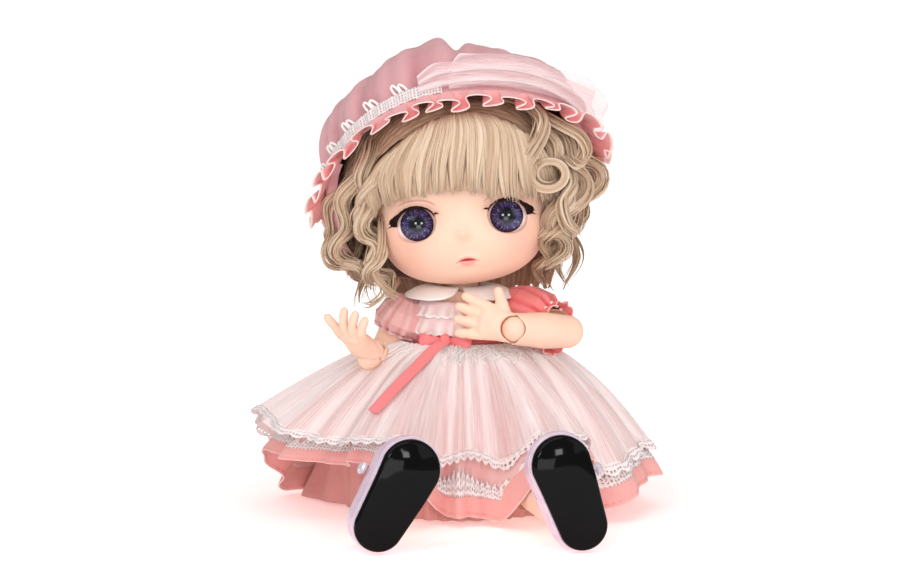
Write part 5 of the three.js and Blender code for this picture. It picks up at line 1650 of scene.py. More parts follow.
    def build_trim(self) -> None:
        """Sheer trim on the left: two ribbons along the band, folded lengthwise, with free ends."""
        layers = []
        for clear, tall, start, end in ((2.2, 10.5, 0, 82), (3.2, 6.0, -12, 92)):
            share, run = lattice(steps(40), steps(160))
            angle = radians(start + (end - 20 * share - start) * run)
            top = tall * smooth(run / 0.14 + 0.3) * (1 - 0.3 * smooth((run - 0.5) / 0.5))
            pleat = cos(TURN * (2.4 * share + 0.2 * sin(4 * angle + clear)))
            free = smooth((run - 0.7) / 0.3)
            off = clear + 3.0 * share + 0.8 * pleat * smooth(run / 0.2) + 5.5 * free * share
            local = self.spot(angle, 1.0, off, mix(-2.8, top + 0.6, share) - 2.0 * free)
            masks = {
                "gather": clip(0.35 - 0.35 * pleat, 0, 1),
                "edge": 0.6 * (bell(share - 1, 0.03) + bell(run - 1, 0.012)),
            }
            uv = vec(share * 14, run * 90)
            layers.append(Patch(self.head.world(local), uv, masks, self.head.world(CENTRE)))
        made = add_piece("cap_sheer_trim", layers, "head", "tulle", "organza", ["cap_ribbon"])
        sew(made, 190.0, "gathered", "cap_brim_band")

    def build(self) -> None:
        """Builds and dresses the cap."""
        self.build_band()
        self.build_crown()
        self.build_ruffle()
        self.build_beading()
        self.build_trim()


@dataclass
class Trunk:
    """The trunk's outline by height: half width, half depth and how far back its middle lies."""

    levels: tuple[Quad, ...] = (
        (0, 11, 9, 6), (5, 17, 12, 5.5), (15, 19, 14, 3.5), (34, 15.5, 12.5, 0.5), (51, 13, 10.5, 0),
        (63, 15.5, 11.5, 0), (71, 12.5, 9, 0), (76, 7.6, 7.2, 0.5),
    )
    neck: float = 5.0
    neck_ball: float = 6.0
    cord: float = 0.8

    def spot(self, angle: Number, z: Number, grow: Number = 0.0) -> Array:
        """A point round the trunk: an ellipse at this height, grown by a cloth's clearance.

        Args:
            angle: the direction, 0 in front.
            z: the height.
            grow: the clearance.

        Returns:
            Points in millimetres.
        """
        angle, z, grow = np.broadcast_arrays(angle, z, grow)
        wide, deep, back = profile(self.levels, z)
        return vec((wide + grow) * sin(angle), back - (deep + grow) * cos(angle), z)

    def build(self) -> None:
        """Dresses the cast trunk and balls, and builds the neck and the elastic inside."""
        for node in ("torso", "shoulder_ball_right", "shoulder_ball_left", "hip_ball_right", "hip_ball_left"):
            dress_node(node, "skin")
        for side in Side:
            dress_node(f"foot_{side.tag}", "skin")
        dress_node("neck_hook", "steel_wire")
        foot, top = joint_place("neck_lean"), joint_place("head_turn")
        share = linspace(-0.45, 1.45, 60)
        length = float(np.linalg.norm(top - foot))
        out = share * length
        low = np.sqrt(clip(self.neck_ball**2 - out**2, 0, None))
        high = np.sqrt(clip(self.neck_ball**2 - (out - length) ** 2, 0, None))
        shaft = np.where((out > 0) & (out < length), self.neck, 0.0)
        radius = np.maximum(np.maximum(low, high), shaft)
        keep = radius > 0.2
        add_piece(
            "neck_post", [tube((foot + out[:, None] * unit(top - foot))[keep], radius[keep], 32)], "neck",
            "skin", "skin", ["neck"],
        )
        ends = [joint_place("shoulder_swing_right"), joint_place("shoulder_swing_left")]
        arm = through([ends[0], vec(0.0, 1.5, 65.4), ends[1]], 24)
        add_piece("arm_cord", [tube(arm, self.cord)], "torso", "elastic", "elastic_cord", ["arm_elastic"])
        strands = []
        for side in Side:
            hip = joint_place(f"hip_swing_{side.tag}")
            inner, beside = hip * vec(0.5, 0.0, 1.6), side.sign * 2.2
            path = through([hip, inner, (beside, 1.0, 44.0), (beside, 1.0, 70.0)], 30)
            strands.append(tube(path, self.cord))
        add_piece("leg_cord", strands, "torso", "elastic", "elastic_cord", ["leg_elastic"])


@dataclass
class Posture:
    """How one side's limbs point at rest, in degrees from straight ahead and above level."""

    upper_arm: Pair
    forearm: Pair
    thigh: Pair
    shin: Pair
    sole: Pair
    toe_lean: float
    hand: Pair
    hand_back: Pair
    curls: Quad
    fan: Quad


POSTURES = {
    Side.RIGHT: Posture(
        upper_arm=(-107, -67), forearm=(-8, 29), thigh=(-15, -2.5), shin=(-10, -1.5), sole=(9, -2),
        toe_lean=30, hand=(-48, 42), hand_back=(-51, -43), curls=(12, 62, 70, 74), fan=(16, 4, -8, -20),
    ),
    Side.LEFT: Posture(
        upper_arm=(52, -8), forearm=(-58, 7), thigh=(24, -2.5), shin=(18, -1.5), sole=(14, -2),
        toe_lean=-20, hand=(-95, 15), hand_back=(-5, 10), curls=(6, 5, 6, 8), fan=(9, 4, -2, -11),
    ),
}


@dataclass
class Limb:
    """One hollow limb part: a ball or flat start, a swelling middle and a cut-back socket mouth."""

    name: str
    start: Array
    way: Array
    sizes: Quad
    ball_start: bool
    socket: float
    lip: float
    cut: float
    cut_side: Array
    fork: float = 0.0

    def fork_cut(self, spin: Array, radius: float) -> Array:
        """How far back the mouth is cut to clear a disc whose axis is the cut side.

        Args:
            spin: angles round the limb, from the cut side.
            radius: the limb's half width at its mouth.

        Returns:
            The cut along the limb, 0 where the disc doesn't reach.
        """
        lean = float(np.dot(self.way, self.cut_side))
        across = 1 - lean**2
        facing = cos(spin) * math.sqrt(across)
        inner = (radius * lean * facing) ** 2 - across * (radius**2 * (1 - facing**2) - self.fork**2)
        cut = (radius * lean * facing - np.sqrt(clip(inner, 0, None))) / across
        return np.where(inner > 0, clip(cut, -5.0, 0.0), 0.0) - 0.15

    def build(self) -> None:
        """Rings along the limb: start cap, swelling wall, slanted mouth and the bowl inside it."""
        side = unit(self.cut_side - self.way * np.dot(self.cut_side, self.way))
        other = np.cross(self.way, side)
        length, first, belly, last = self.sizes
        if self.ball_start:
            rise = radians(linspace(-90, 0, 14))
            cap = vec(first * sin(rise), first * cos(rise), np.zeros(14))
        else:
            cap = np.array(
                [(2.0, 0.0, 0.0), (2.0, first * 0.5, 0.0), (2.0, first * 0.9, 0.0), (2.4, first, 0.0)]
            )
        share = linspace(0.04, 1.0, 40)
        run = mix(cap[-1, 0], length, share)
        radius = profile([(0, first), (0.42, belly), (1, last)], share)[0]
        wall = vec(run, radius, smooth((share - 0.35) / 0.65))
        mouth = np.array([(length + 0.3, last - 0.25, 1.0), (length + 0.3, self.socket + 0.5, 1.0)])
        bowl_turn = radians(linspace(0, 90, 9))
        bowl = vec(length - self.socket * sin(bowl_turn), self.socket * cos(bowl_turn), cos(bowl_turn))
        rows = np.concatenate([cap, wall, mouth, bowl])
        spin = linspace(0, TURN, 49)
        slant = self.lip - (self.lip + self.cut) * ((1 + cos(spin)) / 2) ** 1.2
        if self.fork:
            slant = self.fork_cut(spin, last)
        out = rows[:, 0, None] + rows[:, 2, None] * slant
        points = self.start + out[..., None] * self.way + rows[:, 1, None, None] * ring(spin, side, other)
        add_piece(f"{self.name}_cast", [Patch(points)], self.name, "skin", "skin", [self.name])


@dataclass
class Arm:
    """One arm: upper arm, forearm, seamed wrist ball and a hand with separate fingers."""

    side: Side
    upper: Quad = (20.5, 6.0, 6.0, 6.4)
    fore: Quad = (21.5, 5.6, 6.1, 5.4)
    wrist: float = 4.3
    proud: float = 1.22
    gap: float = 0.06
    palm: Pair = (12.0, 13.0)
    finger: Triple = (10.5, 1.9, 1.45)
    thumb: Quad = (8.5, 2.1, 1.6, 58.0)
    voxel: float = 0.3

    def build_limbs(self) -> None:
        """Upper arm and forearm, each cut back where the next part closes on it."""
        tag, pose = self.side.tag, POSTURES[self.side]
        shoulder, elbow = joint_place(f"shoulder_swing_{tag}"), joint_place(f"elbow_bend_{tag}")
        upper, fore = aim(*pose.upper_arm), aim(*pose.forearm)
        back = self.frame()[2]
        Limb(
            f"upper_arm_{tag}", shoulder, upper, self.upper, False, socket=5.85, lip=-3.0, cut=8.5,
            cut_side=fore,
        ).build()
        Limb(
            f"forearm_{tag}", elbow, fore, self.fore, True, socket=4.55, lip=0.0, cut=0.0, cut_side=back,
            fork=self.wrist + self.gap,
        ).build()

    def frame(self) -> tuple[Array, Array, Array]:
        """The hand's directions: across the palm, along it and out of its back.

        Returns:
            The three directions.
        """
        pose = POSTURES[self.side]
        way = aim(*pose.hand)
        across = unit(np.cross(way, aim(*pose.hand_back)))
        return across, way, np.cross(across, way)

    def build_wrist(self) -> None:
        """The wrist ball, with a fine seam pressed in round its middle."""
        tag = self.side.tag
        across, way, back = self.frame()
        up, spin = lattice(radians(linspace(-90, 90, 61)), linspace(0, TURN, 49))
        seam = 0.16 * bell(np.degrees(up), 3.0)
        across_ball = ring(spin, across, way)
        bulge = self.proud * sin(up)[..., None] * back
        local = (self.wrist - seam)[..., None] * (cos(up)[..., None] * across_ball + bulge)
        masks = {"crease": 0.5 * bell(np.degrees(up), 3.5)}
        add_piece(
            f"wrist_ball_{tag}_cast", [Patch(joint_place(f"wrist_sway_{tag}") + local, masks=masks)],
            f"wrist_ball_{tag}", "skin", "skin", [f"wrist_ball_{tag}"],
        )

    def digit(
        self, root: Array, heading: float, curl: float, length: float, wide: float, tip: float
    ) -> Patch:
        """A finger on a path that bends evenly to the palm, with soft knuckles and a round tip.

        Args:
            root: where it starts, in the hand's own frame.
            heading: degrees that it leans sideways.
            curl: degrees that it bends.
            length: its length.
            wide: the half width at its root.
            tip: the half width at its tip.

        Returns:
            The finger's patch.
        """
        share = steps(26)
        bend = radians(curl) * smooth(share * 1.1)
        lean = math.radians(heading)
        flat = np.array([math.sin(lean), math.cos(lean), 0.0])
        step = cos(bend)[:, None] * flat - sin(bend)[:, None] * UP
        path = root + np.cumsum(step, axis=0) * (length / len(share))
        knuckle = 1 + 0.07 * bell(share - 0.36, 0.08) + 0.05 * bell(share - 0.7, 0.07)
        end = np.sqrt(clip(1 - ((share - 0.86) / 0.15).clip(0) ** 2, 0.02, 1))
        return tube(path, mix(wide, tip, share) * knuckle * end, 16, 0.95, vec(1.0, 0.0, 0.0))

    def build_hand(self) -> None:
        """Palm and fingers in the hand's frame, joined by a fine remesh and smoothed."""
        tag, pose = self.side.tag, POSTURES[self.side]
        thumb_side = self.side.sign
        length, width = self.palm
        along = steps(30)
        half, deep = profile([(0, 5.0, 4.3), (0.3, 5.4, 3.9), (0.75, 6.4, 2.9), (1, 5.9, 1.9)], along)
        close = np.sqrt(clip(1 - (np.abs(along - 0.5) / 0.5) ** 14, 0, 1))
        spin = linspace(0, TURN, 41)
        ring_x = np.sign(cos(spin)) * np.abs(cos(spin)) ** 0.8
        ring_z = np.sign(sin(spin)) * np.abs(sin(spin)) ** 0.9
        x = (half * np.where(along < 0.5, 1.0, close))[:, None] * ring_x
        notch = -2 * self.gap + np.sqrt(clip((self.wrist + self.gap) ** 2 - x**2, 0, None))
        y = mix(notch, length + 0.8, along[:, None])
        palm = Patch(vec(x, y, (deep * close)[:, None] * ring_z))
        patches = [palm]
        size, wide, tip = self.finger
        for k, (curl, fan, share) in enumerate(zip(pose.curls, pose.fan, (0.97, 1.08, 1.02, 0.88))):
            root = np.array([thumb_side * mix(0.36, -0.36, k / 3) * width, length - 2.6, 0.0])
            patches.append(self.digit(root, thumb_side * fan, curl, size * share + 0.6, wide, tip))
        size, wide, tip, fan = self.thumb
        base = vec(thumb_side * 0.30 * width, 0.36 * length, -0.66)
        patches.append(self.digit(base, thumb_side * fan, 14.0, size + 1.2, wide + 0.25, tip))
        across, way, back = self.frame()
        wrist = joint_place(f"wrist_sway_{tag}")
        for patch in patches:
            patch.points = wrist + patch.points @ np.stack([across, way, back])
        made = place_mesh(f"hand_{tag}_cast", patches)
        join = made.modifiers.new("join", "REMESH")
        join.mode, join.voxel_size, join.use_smooth_shade = "VOXEL", self.voxel * MM, True
        soften = made.modifiers.new("soften", "SMOOTH")
        soften.factor, soften.iterations = 0.5, 6
        settle(made)
        attach(made, f"hand_{tag}", "skin", "skin", [f"hand_{tag}"])

    def build(self) -> None:
        """Builds and dresses the arm."""
        self.build_limbs()
        self.build_wrist()
        self.build_hand()


@dataclass
class Leg:
    """One leg: thigh, shin, and a shoe with a glossy sole, a soft upper, a strap and a stone."""

    side: Side
    thigh: Quad = (34.0, 9.3, 9.1, 8.4)
    shin: Quad = (30.0, 7.4, 7.6, 6.6)
    heel: Pair = (-2.6, 8.2)
    toe: Pair = (18.6, 10.0)
    below: float = 9.2
    rise: float = 12.5
    opening: Triple = (2.6, 10.6, 7.4)
    strap_at: float = 11.0
    strap_half: float = 1.5

    def build_limbs(self) -> None:
        """Thigh and shin; the thigh's mouth is cut back below, where the knee closes."""
        tag, pose = self.side.tag, POSTURES[self.side]
        hip, knee = joint_place(f"hip_swing_{tag}"), joint_place(f"knee_bend_{tag}")
        thigh, shin = aim(*pose.thigh), aim(*pose.shin)
        Limb(
            f"thigh_{tag}", hip, thigh, self.thigh, False, socket=7.8, lip=1.0, cut=9.5, cut_side=-UP
        ).build()
        Limb(f"shin_{tag}", knee, shin, self.shin, True, socket=5.4, lip=0.2, cut=1.0, cut_side=-UP).build()

    def place(self, local: Array) -> Array:
        """Carries points from the foot's frame (across, to the toe, to the sole) to the doll's.

        Args:
            local: points in the foot's frame.

        Returns:
            The same points in the doll's frame.
        """
        pose = POSTURES[self.side]
        down = aim(*pose.sole)
        lean = math.radians(pose.toe_lean)
        across = unit(np.cross(np.array([math.sin(lean), 0.0, math.cos(lean)]), down))
        return (
            joint_place(f"ankle_bend_{self.side.tag}")
            + local @ np.stack([across, np.cross(down, across), down])
        )

    @staticmethod
    def round_angles() -> Array:
        """Angles round a shoe, close together where its straight sides are.

        Returns:
            The angles, once round.
        """
        edge = 0.06
        return np.concatenate([
            linspace(edge, pi - edge, 44)[:-1], linspace(pi - edge, pi + edge, 22)[:-1],
            linspace(pi + edge, TURN - edge, 44)[:-1], linspace(TURN - edge, TURN + edge, 22),
        ])

    def outline(self, angle: Array, inset: Number = 0.0) -> tuple[Array, Array]:
        """The sole's outline, less an inset: toe and heel circles with straight sides between.

        Args:
            angle: directions round the shoe.
            inset: distance inwards.

        Returns:
            Places across and along the foot.
        """
        front = smooth((sin(angle) / math.sin(0.06) + 1) / 2)
        middle = mix(self.heel[0], self.toe[0], front)
        radius = mix(self.heel[1], self.toe[1], front) - inset
        return radius * cos(angle), middle + radius * sin(angle)

    @staticmethod
    def spring(x: Array, y: Array) -> Array:
        """How far the toe turns up: a parabola from the ball of the foot, and a crown across."""
        return 0.018 * clip(y - 15.5, 0, None) ** 2 + 0.012 * x**2 * smooth((y - 10) / 9)

    def build_sole(self) -> None:
        """The sole: rounded edges, a shallow welt line and a slightly crowned face."""
        tag = self.side.tag
        profile_rows = np.array([
            (0.0, 7.9), (0.0, 4.0), (0.0, 0.5), (0.12, 0.12), (0.5, 0.0), (1.0, 0.0), (1.5, 0.1), (1.95, 0.4),
            (2.2, 0.85), (2.26, 1.3), (2.28, 1.8), (2.4, 3.2), (2.5, 4.6), (2.55, 5.8), (2.58, 6.9),
            (2.6, 7.9),
        ])
        angle = self.round_angles()
        level, a = lattice(np.arange(len(profile_rows)), angle)
        x, y = self.outline(a, profile_rows[:, 1][level])
        squash = np.where(profile_rows[:, 1][level] > 7.5, 0.0, 1.0)
        local = vec(x * squash, y, self.below + 0.05 + profile_rows[:, 0][level] - self.spring(x * squash, y))
        add_piece(
            f"patent_sole_{tag}", [Patch(self.place(local))], f"foot_{tag}", "shoe_rubber", "patent_sole",
            [f"shoe_sole_{tag}"],
        )

    def build_upper(self) -> None:
        """The upper: it rises from the sole and closes over the toes to a bound oval opening."""
        tag = self.side.tag
        angle = self.round_angles()
        share, a = lattice(steps(34), angle)
        x, y = self.outline(a, 0.15)
        middle, long_, wide = self.opening
        close = share**2.0
        swell = 1.5 * sin(pi * clip(share * 1.15, 0, 1))
        px = mix(x + swell * cos(a), wide * cos(a), close)
        py = mix(y + swell * sin(a), middle + long_ * sin(a), close)
        tall = self.rise * (1 - 0.16 * clip(sin(a), 0, 1) + 0.3 * clip(-sin(a), 0, 1) ** 2)
        drop = self.below - tall * sin(share * pi / 2) ** 0.85 - self.spring(x, y) * (1 - share)
        local = vec(px, py, drop)
        seam = {
            "fold": 0.5 * bell(share - 0.1, 0.025) + 0.25 * bell(np.abs(cos(a)) - 0.05, 0.04) * (sin(a) < 0)
        }
        add_piece(
            f"shoe_upper_{tag}_soft", [Patch(self.place(local), masks=seam)], f"foot_{tag}", "shoe_leather",
            "lilac_vinyl", [f"shoe_upper_{tag}"], thick=0.7,
        )
        edges = ((-1, 0.55), (2, 0.42))
        binding = [Patch(tube(self.place(local[row]), radius, 8).points[1:-1]) for row, radius in edges]
        add_piece(f"shoe_binding_{tag}", binding, f"foot_{tag}", "shoe_leather", "pearl")

    def build_strap(self) -> None:
        """The strap: a band over the instep, with a stone set at its outer end."""
        tag = self.side.tag
        across, arc = lattice(linspace(-1, 1, 7), linspace(-1.12, 1.12, 60))
        high = self.rise + 1.2
        x = 10.5 * sin(arc * 1.25)
        local = vec(
            x, self.strap_at + self.strap_half * across, self.below - high * cos(arc * 1.25) ** 0.6 - 0.6
        )
        add_piece(
            f"shoe_strap_{tag}_band", [Patch(self.place(local))], f"foot_{tag}", "shoe_leather",
            "clear_vinyl", [f"shoe_strap_{tag}"], thick=0.8,
        )
        up, spin = lattice(np.array([-90, -40, -8, 8, 32, 58, 90.0]), linspace(-180, 180, 11))
        stone = aim(spin, up) * vec(1.5, 2.3, 2.3)
        centre = vec(self.side.sign * 12.6, self.strap_at, self.below - 0.62 * self.rise)
        gem = [Patch(self.place(centre + stone))]
        nodes = [f"shoe_ornament_{tag}"]
        made = add_piece(f"shoe_stone_{tag}", gem, f"foot_{tag}", "crystal", "clear_vinyl", nodes)
        shade(made.data, False)

    def build(self) -> None:
        """Builds and dresses the leg."""
        self.build_limbs()
        self.build_sole()
        self.build_upper()
        self.build_strap()


@dataclass
class Dress:
    """The dress: bodice, collar, bib, puffed sleeves, sash and bow, skirt, hem band and overlay."""

    trunk: Trunk
    waist: float = 57.5
    hem: float = 1.3
    reach_side: float = 66.0
    reach_front: float = 33.0
    reach_back: float = 48.0
    reach_leg: float = 62.0
    leg_lift: float = 25.0
    folds: int = 16
    fold: float = 2.4
    hem_start: float = 1 - 8 / 66
    overlay_end: float = 0.84
    columns: int = 721
    raise_right: float = 20.0
    raise_left: float = 11.0
    flare: float = 7.0
    net_depth: float = 0.8
    net_lift: float = 10.0
    net_folds: int = 33
    thread_count: int = 120
    thread_seed: int = 23

    def over_legs(self, angle: Array) -> Array:
        """How far a direction lies over a leg: 1 near the knee, eased to 0 beside it.

        Args:
            angle: directions round the trunk.

        Returns:
            The shares.
        """
        lifts = []
        for side in Side:
            knee = joint_place(f"knee_bend_{side.tag}")
            away = np.degrees(np.angle(np.exp(1j * (angle - math.atan2(knee[0], -knee[1])))))
            lifts.append(1 - smooth((np.abs(away) - 8) / 8))
        return np.maximum(*lifts)

    def raised(self, angle: Array, more: float) -> Array:
        """How far the hem is lifted: a wide rise on the right and a smaller one on the left.

        Args:
            angle: directions round the trunk.
            more: an extra rise on the doll's right.

        Returns:
            The heights in millimetres.
        """
        degrees = np.degrees(angle)
        right = (
            (self.raise_right + more * bell(degrees + 92, 26)) * smooth((degrees + 114) / 30)
            * smooth((-6 - degrees) / 32)
        )
        return right + self.raise_left * bell(degrees - 84, 24) + 2.2 * bell(degrees, 20)

    def spread(
        self, angle: Number, share: Number, off: Number = 0.0, flare: float = 0.0, depth: Number = 1.0,
        lifted: float = 0.0,
    ) -> Array:
        """A point of the skirt: from the waist to a reach by direction, falling to the hem.

        Args:
            angle: the direction round the trunk, 0 in front, in radians.
            share: how far from the waist to the hem.
            off: clearance over the skirt.
            flare: extra reach towards the doll's right at the hem.
            depth: how deep the folds are against the skirt's own.
            lifted: how much more the hem is raised than the skirt's own.

        Returns:
            The points in millimetres.
        """
        angle, share, off, depth = np.broadcast_arrays(angle, share, off, depth)
        lift = self.over_legs(angle)
        cosine = cos(angle)
        flat = (
            self.reach_side + (self.reach_front - self.reach_side) * clip(cosine, 0, None) ** 2
            + (self.reach_back - self.reach_side) * clip(-cosine, 0, None) ** 2
        )
        reach = mix(flat, self.reach_leg, lift) + flare * clip(-sin(angle), 0, None) * share
        start = hypot(*np.moveaxis(self.trunk.spot(angle, self.waist, 0.3 + off)[..., :2], -1, 0))
        wave = cos(self.folds * angle) + 0.45 * cos(27 * angle + 1.1) + 0.3 * cos(41 * angle + 0.3)
        fold = 0.8 * self.fold * wave * share * (1 - 0.55 * lift) * depth
        pinch = 0.45 * cos(64 * angle + 3 * sin(5 * angle)) * bell(share - 0.12, 0.16) * depth
        radius = mix(start, reach + off, share ** mix(0.75, 0.8, lift)) + fold + pinch
        low = mix(self.hem, self.leg_lift, lift) + self.raised(angle, lifted) * (1 - lift)
        fall = mix(1.42, 1.14, bell(np.degrees(angle) + 76, 42))
        z = mix(self.waist, low, share ** mix(fall, 1.3, lift)) + 0.45 * off * (1 - share)
        return vec(radius * sin(angle), -radius * cos(angle), z)

    def over(self, angle: Number, share: Number, off: Number, depth: float) -> Array:
        """A point over the skirt, where the overlay flares and its hem is raised by more."""
        return self.spread(angle, share, off, self.flare, depth, self.net_lift)

    def valleys(self, angle: Array, share: Array) -> Array:
        """Painted shade in the hollows between the skirt's folds and in the close gathers at the waist."""
        wave = 0.5 - 0.5 * cos(self.folds * angle) - 0.2 * cos(27 * angle + 1.1)
        return clip(0.75 * wave * share + 0.5 * bell(share, 0.16), 0, 1)

    def build_skirt(self) -> None:
        """The skirt, its hem band with two rows of stitches, its lace edge and the petticoat."""
        share, angle = lattice(linspace(0.0, self.hem_start, 60), full_turn(self.columns))
        # fold is painted shade in the skirt's hollows and waist gathers
        skirt = add_piece(
            "skirt_cloth", [Patch(self.spread(angle, share), masks={"fold": self.valleys(angle, share)})],
            "torso", "pink_cloth", "pale_pink_cotton", ["skirt"], thick=0.3,
        )
        band, angle = lattice(steps(22), full_turn(self.columns))
        share = mix(self.hem_start - 0.01, 1.0, band)
        puff = 0.5 + 0.75 * sin(pi * clip(band, 0, 1)) ** 0.6
        stitch = 0.3 * (bell(band - 0.16, 0.03) + bell(band - 0.86, 0.03)) * (sin(angle * 260) > -0.3)
        points = self.spread(angle, share, puff - stitch)
        # fold is painted shade in the hollows and in the pressed-in stitch rows; edge is a paler edge
        masks = {
            "fold": clip(0.5 * self.valleys(angle, share) + 1.4 * stitch, 0, 1),
            "edge": smooth((band - 0.965) / 0.02),
        }
        hem = add_piece(
            "hem_band_cloth", [Patch(points, masks=masks)], "torso", "pink_cloth", "pink_cotton",
            ["hem_band"], thick=0.5,
        )
        edge, angle = lattice(steps(8), full_turn(1441))
        point = (0.55 + 0.45 * np.abs(sin(angle * 62))) * (1 + 0.8 * bell(np.degrees(angle), 8))
        points = self.spread(angle, self.hem_start + 0.03 - 0.075 * edge * point, 1.7 - 0.5 * edge)
        lace = add_piece("hem_lace", [Patch(points)], "torso", "white_cloth", "lace", thick=0.25)
        share, angle = lattice(steps(30), full_turn(self.columns))
        floor = mix(30.0, 38.0, smooth((np.abs(np.degrees(angle)) - 40) / 30))
        floor = floor + 22.0 * smooth((-np.degrees(angle) - 84) / 30) * smooth((np.degrees(angle) + 175) / 40)
        ground = vec(floor * sin(angle), -floor * cos(angle), self.hem)
        ground = ground + 0.9 * cos(34 * angle)[..., None] * vec(sin(angle), -cos(angle), 0.0)
        under = mix(self.spread(angle, 0.45, -2.2), ground, share[..., None])
        # fold is painted shade in the petticoat's hollows
        petticoat = add_piece(
            "petticoat_cloth", [Patch(under, masks={"fold": 0.6 * self.valleys(angle, share)})], "torso",
            "rose_cloth", "petticoat_cotton", thick=0.3,
        )
        sew(petticoat, 430.0, "gathered", "torso")
        sew(skirt, 430.0, "gathered", "bodice_cloth", [lace])
        sew(hem, 430.0, "gathered", "skirt_cloth")

    def overlay_edge(self, angle: Array) -> Array:
        """How far down the skirt the overlay ends: it is shorter in front."""
        return self.overlay_end - 0.12 * bell(np.degrees(angle) - 5, 25)

    def build_overlay(self) -> None:
        """The sheer overlay stands off the skirt, flares to the right and ends in lace."""
        share, angle = lattice(linspace(0.02, 1, 60), full_turn(self.columns))
        scallop = 0.016 * np.abs(sin(angle * 30))
        swing = 0.7 * cos(self.net_folds * angle) * share + 0.3 * cos(58 * angle) * (1 - share)
        points = self.over(angle, share * (self.overlay_edge(angle) - scallop), 4.2 + swing, self.net_depth)
        masks = {
            "gather": clip(0.3 - 0.3 * cos(self.net_folds * angle) + 0.9 * bell(share, 0.22), 0, 1) * 0.8,
            "edge": 0.6 * smooth((share - 0.965) / 0.02),
        }
        made = add_piece("overlay_net", [Patch(points, masks=masks)], "torso", "tulle", "tulle", ["overlay"])
        edge, angle = lattice(steps(8), full_turn(1201))
        scallop = 0.022 * np.abs(sin(angle * 45))
        reach = self.overlay_edge(angle) - 0.03 + (0.03 + scallop) * edge
        points = self.over(angle, reach, 4.6 + 0.7 * cos(self.net_folds * angle), self.net_depth)
        lace = add_piece("overlay_lace", [Patch(points)], "torso", "white_cloth", "fine_lace", thick=0.22)
        sew(made, 800.0, "gathered", "skirt_cloth", [lace, self.build_threads()])

    def build_threads(self) -> Piece:
        """Loose lace threads from the waist over the overlay, each on a wavering line.

        Returns:
            The threads' piece.
        """
        random = np.random.default_rng(self.thread_seed)
        share = steps(16)
        threads = []
        for _ in range(self.thread_count):
            angle = math.radians(random.normal(14, 36))
            length, sway, phase = random.uniform(0.04, 0.2), random.uniform(0.02, 0.09), random.uniform(0, 6)
            line = angle + sway * sin(7 * share + phase) * share
            off = 5.0 + 0.5 * sin(5 * share + phase)
            path = self.over(line, 0.03 + length * share, off, self.net_depth)
            threads.append(tube(path, 0.12, 5))
        return add_piece("waist_threads", threads, "torso", "white_cloth", "white_cotton")

    def build_bodice(self) -> None:
        """Bodice and sash as bands round the trunk, the sash pleated, and the lace bib."""
        share, angle = lattice(steps(30), full_turn(181))
        crease = 0.25 * cos(22 * angle) * (1 - share) ** 2
        points = self.trunk.spot(angle, mix(56.5, 72.6, share), 1.0 + crease)
        # fold paints shade towards the waist, among the gathers
        bodice = add_piece(
            "bodice_cloth", [Patch(points, masks={"fold": 0.4 * (1 - share) ** 2})], "torso", "pink_cloth",
            "pale_pink_cotton", ["bodice"], thick=0.4,
        )
        sew(bodice, 95.0, "stretched", "torso")
        across, angle = lattice(steps(20), full_turn(181))
        pleat = 0.35 * cos(across * 6 * pi + 0.4 * sin(3 * angle))
        bulge = 1.6 + 0.6 * sin(pi * across) + pleat * sin(pi * across)
        points = self.trunk.spot(angle, mix(58.0, 62.2, across), bulge)
        # fold paints shade in the pleats' hollows
        ribbon = [Patch(points, masks={"fold": 0.5 - pleat})]
        sash = add_piece("sash_ribbon", ribbon, "torso", "coral_ribbon", "coral_satin", ["sash"], thick=0.35)
        sew(sash, 82.0, "stretched", "bodice_cloth")
        down, angle = lattice(steps(60), radians(linspace(-78, 44, 220)))
        tier = np.where(down < 0.45, down / 0.45, (down - 0.45) / 0.55)
        scallop = 0.7 * np.abs(sin(angle * 16)) * tier**2
        ripple = cos(26 * angle + 2 * sin(5 * angle))
        points = self.trunk.spot(
            angle, mix(72.8, 62.2, down) - scallop, 2.1 + 1.2 * tier**1.5 + 0.5 * ripple * tier
        )
        # fold is painted shade in the ripples' hollows and at the top of each tier, under the one above; edge is a
        # paler edge
        masks = {
            "fold": clip(0.4 - 0.5 * ripple * tier + 0.4 * (1 - tier) ** 3, 0, 1),
            "edge": smooth((tier - 0.84) / 0.08),
        }
        bib = add_piece(
            "bib_lace", [Patch(points, masks=masks, inside=vec(0.0, 0.0, 65.0))], "torso", "white_cloth",
            "bib_cotton", ["bib"], thick=0.3,
        )
        sew(bib, 26.0, "laid", "bodice_cloth")

    def build_collar(self, side: Side) -> None:
        """One collar leaf: from the neck outwards and down, round at its ends, with a piped edge.

        Args:
            side: which leaf.
        """
        share, turn_ = lattice(steps(20), steps(70))
        angle = radians(mix(7.0, 118.0, turn_))
        ends = clip(1 - (np.abs(turn_ - 0.5) / 0.5) ** 4.5, 0, 1) ** 0.5
        reach = share * (0.34 + 0.66 * ends)
        radius = mix(7.8, 18.8, reach)
        height = 77.2 - 3.0 * reach**2 + 0.4 * sin(pi * share)
        points = vec(side.sign * radius * sin(angle), -0.9 * radius * cos(angle), height)
        leaf = add_piece(
            f"collar_leaf_{side.tag}", [Patch(points, inside=vec(0.0, 0.0, 60.0))], "torso", "white_cloth",
            "white_cotton", [f"collar_{side.tag}"], thick=0.7,
        )
        rim = np.concatenate([points[:, 0], points[-1], points[::-1, -1]])
        keep = np.concatenate([[True], np.linalg.norm(np.diff(rim, axis=0), axis=-1) > 0.05])
        piping = add_piece(
            f"collar_piping_{side.tag}", [tube(rim[keep], 0.42, 8)], "torso", "white_cloth", "white_cotton"
        )
        sew(leaf, 32.0, "laid", "bodice_cloth", [piping])

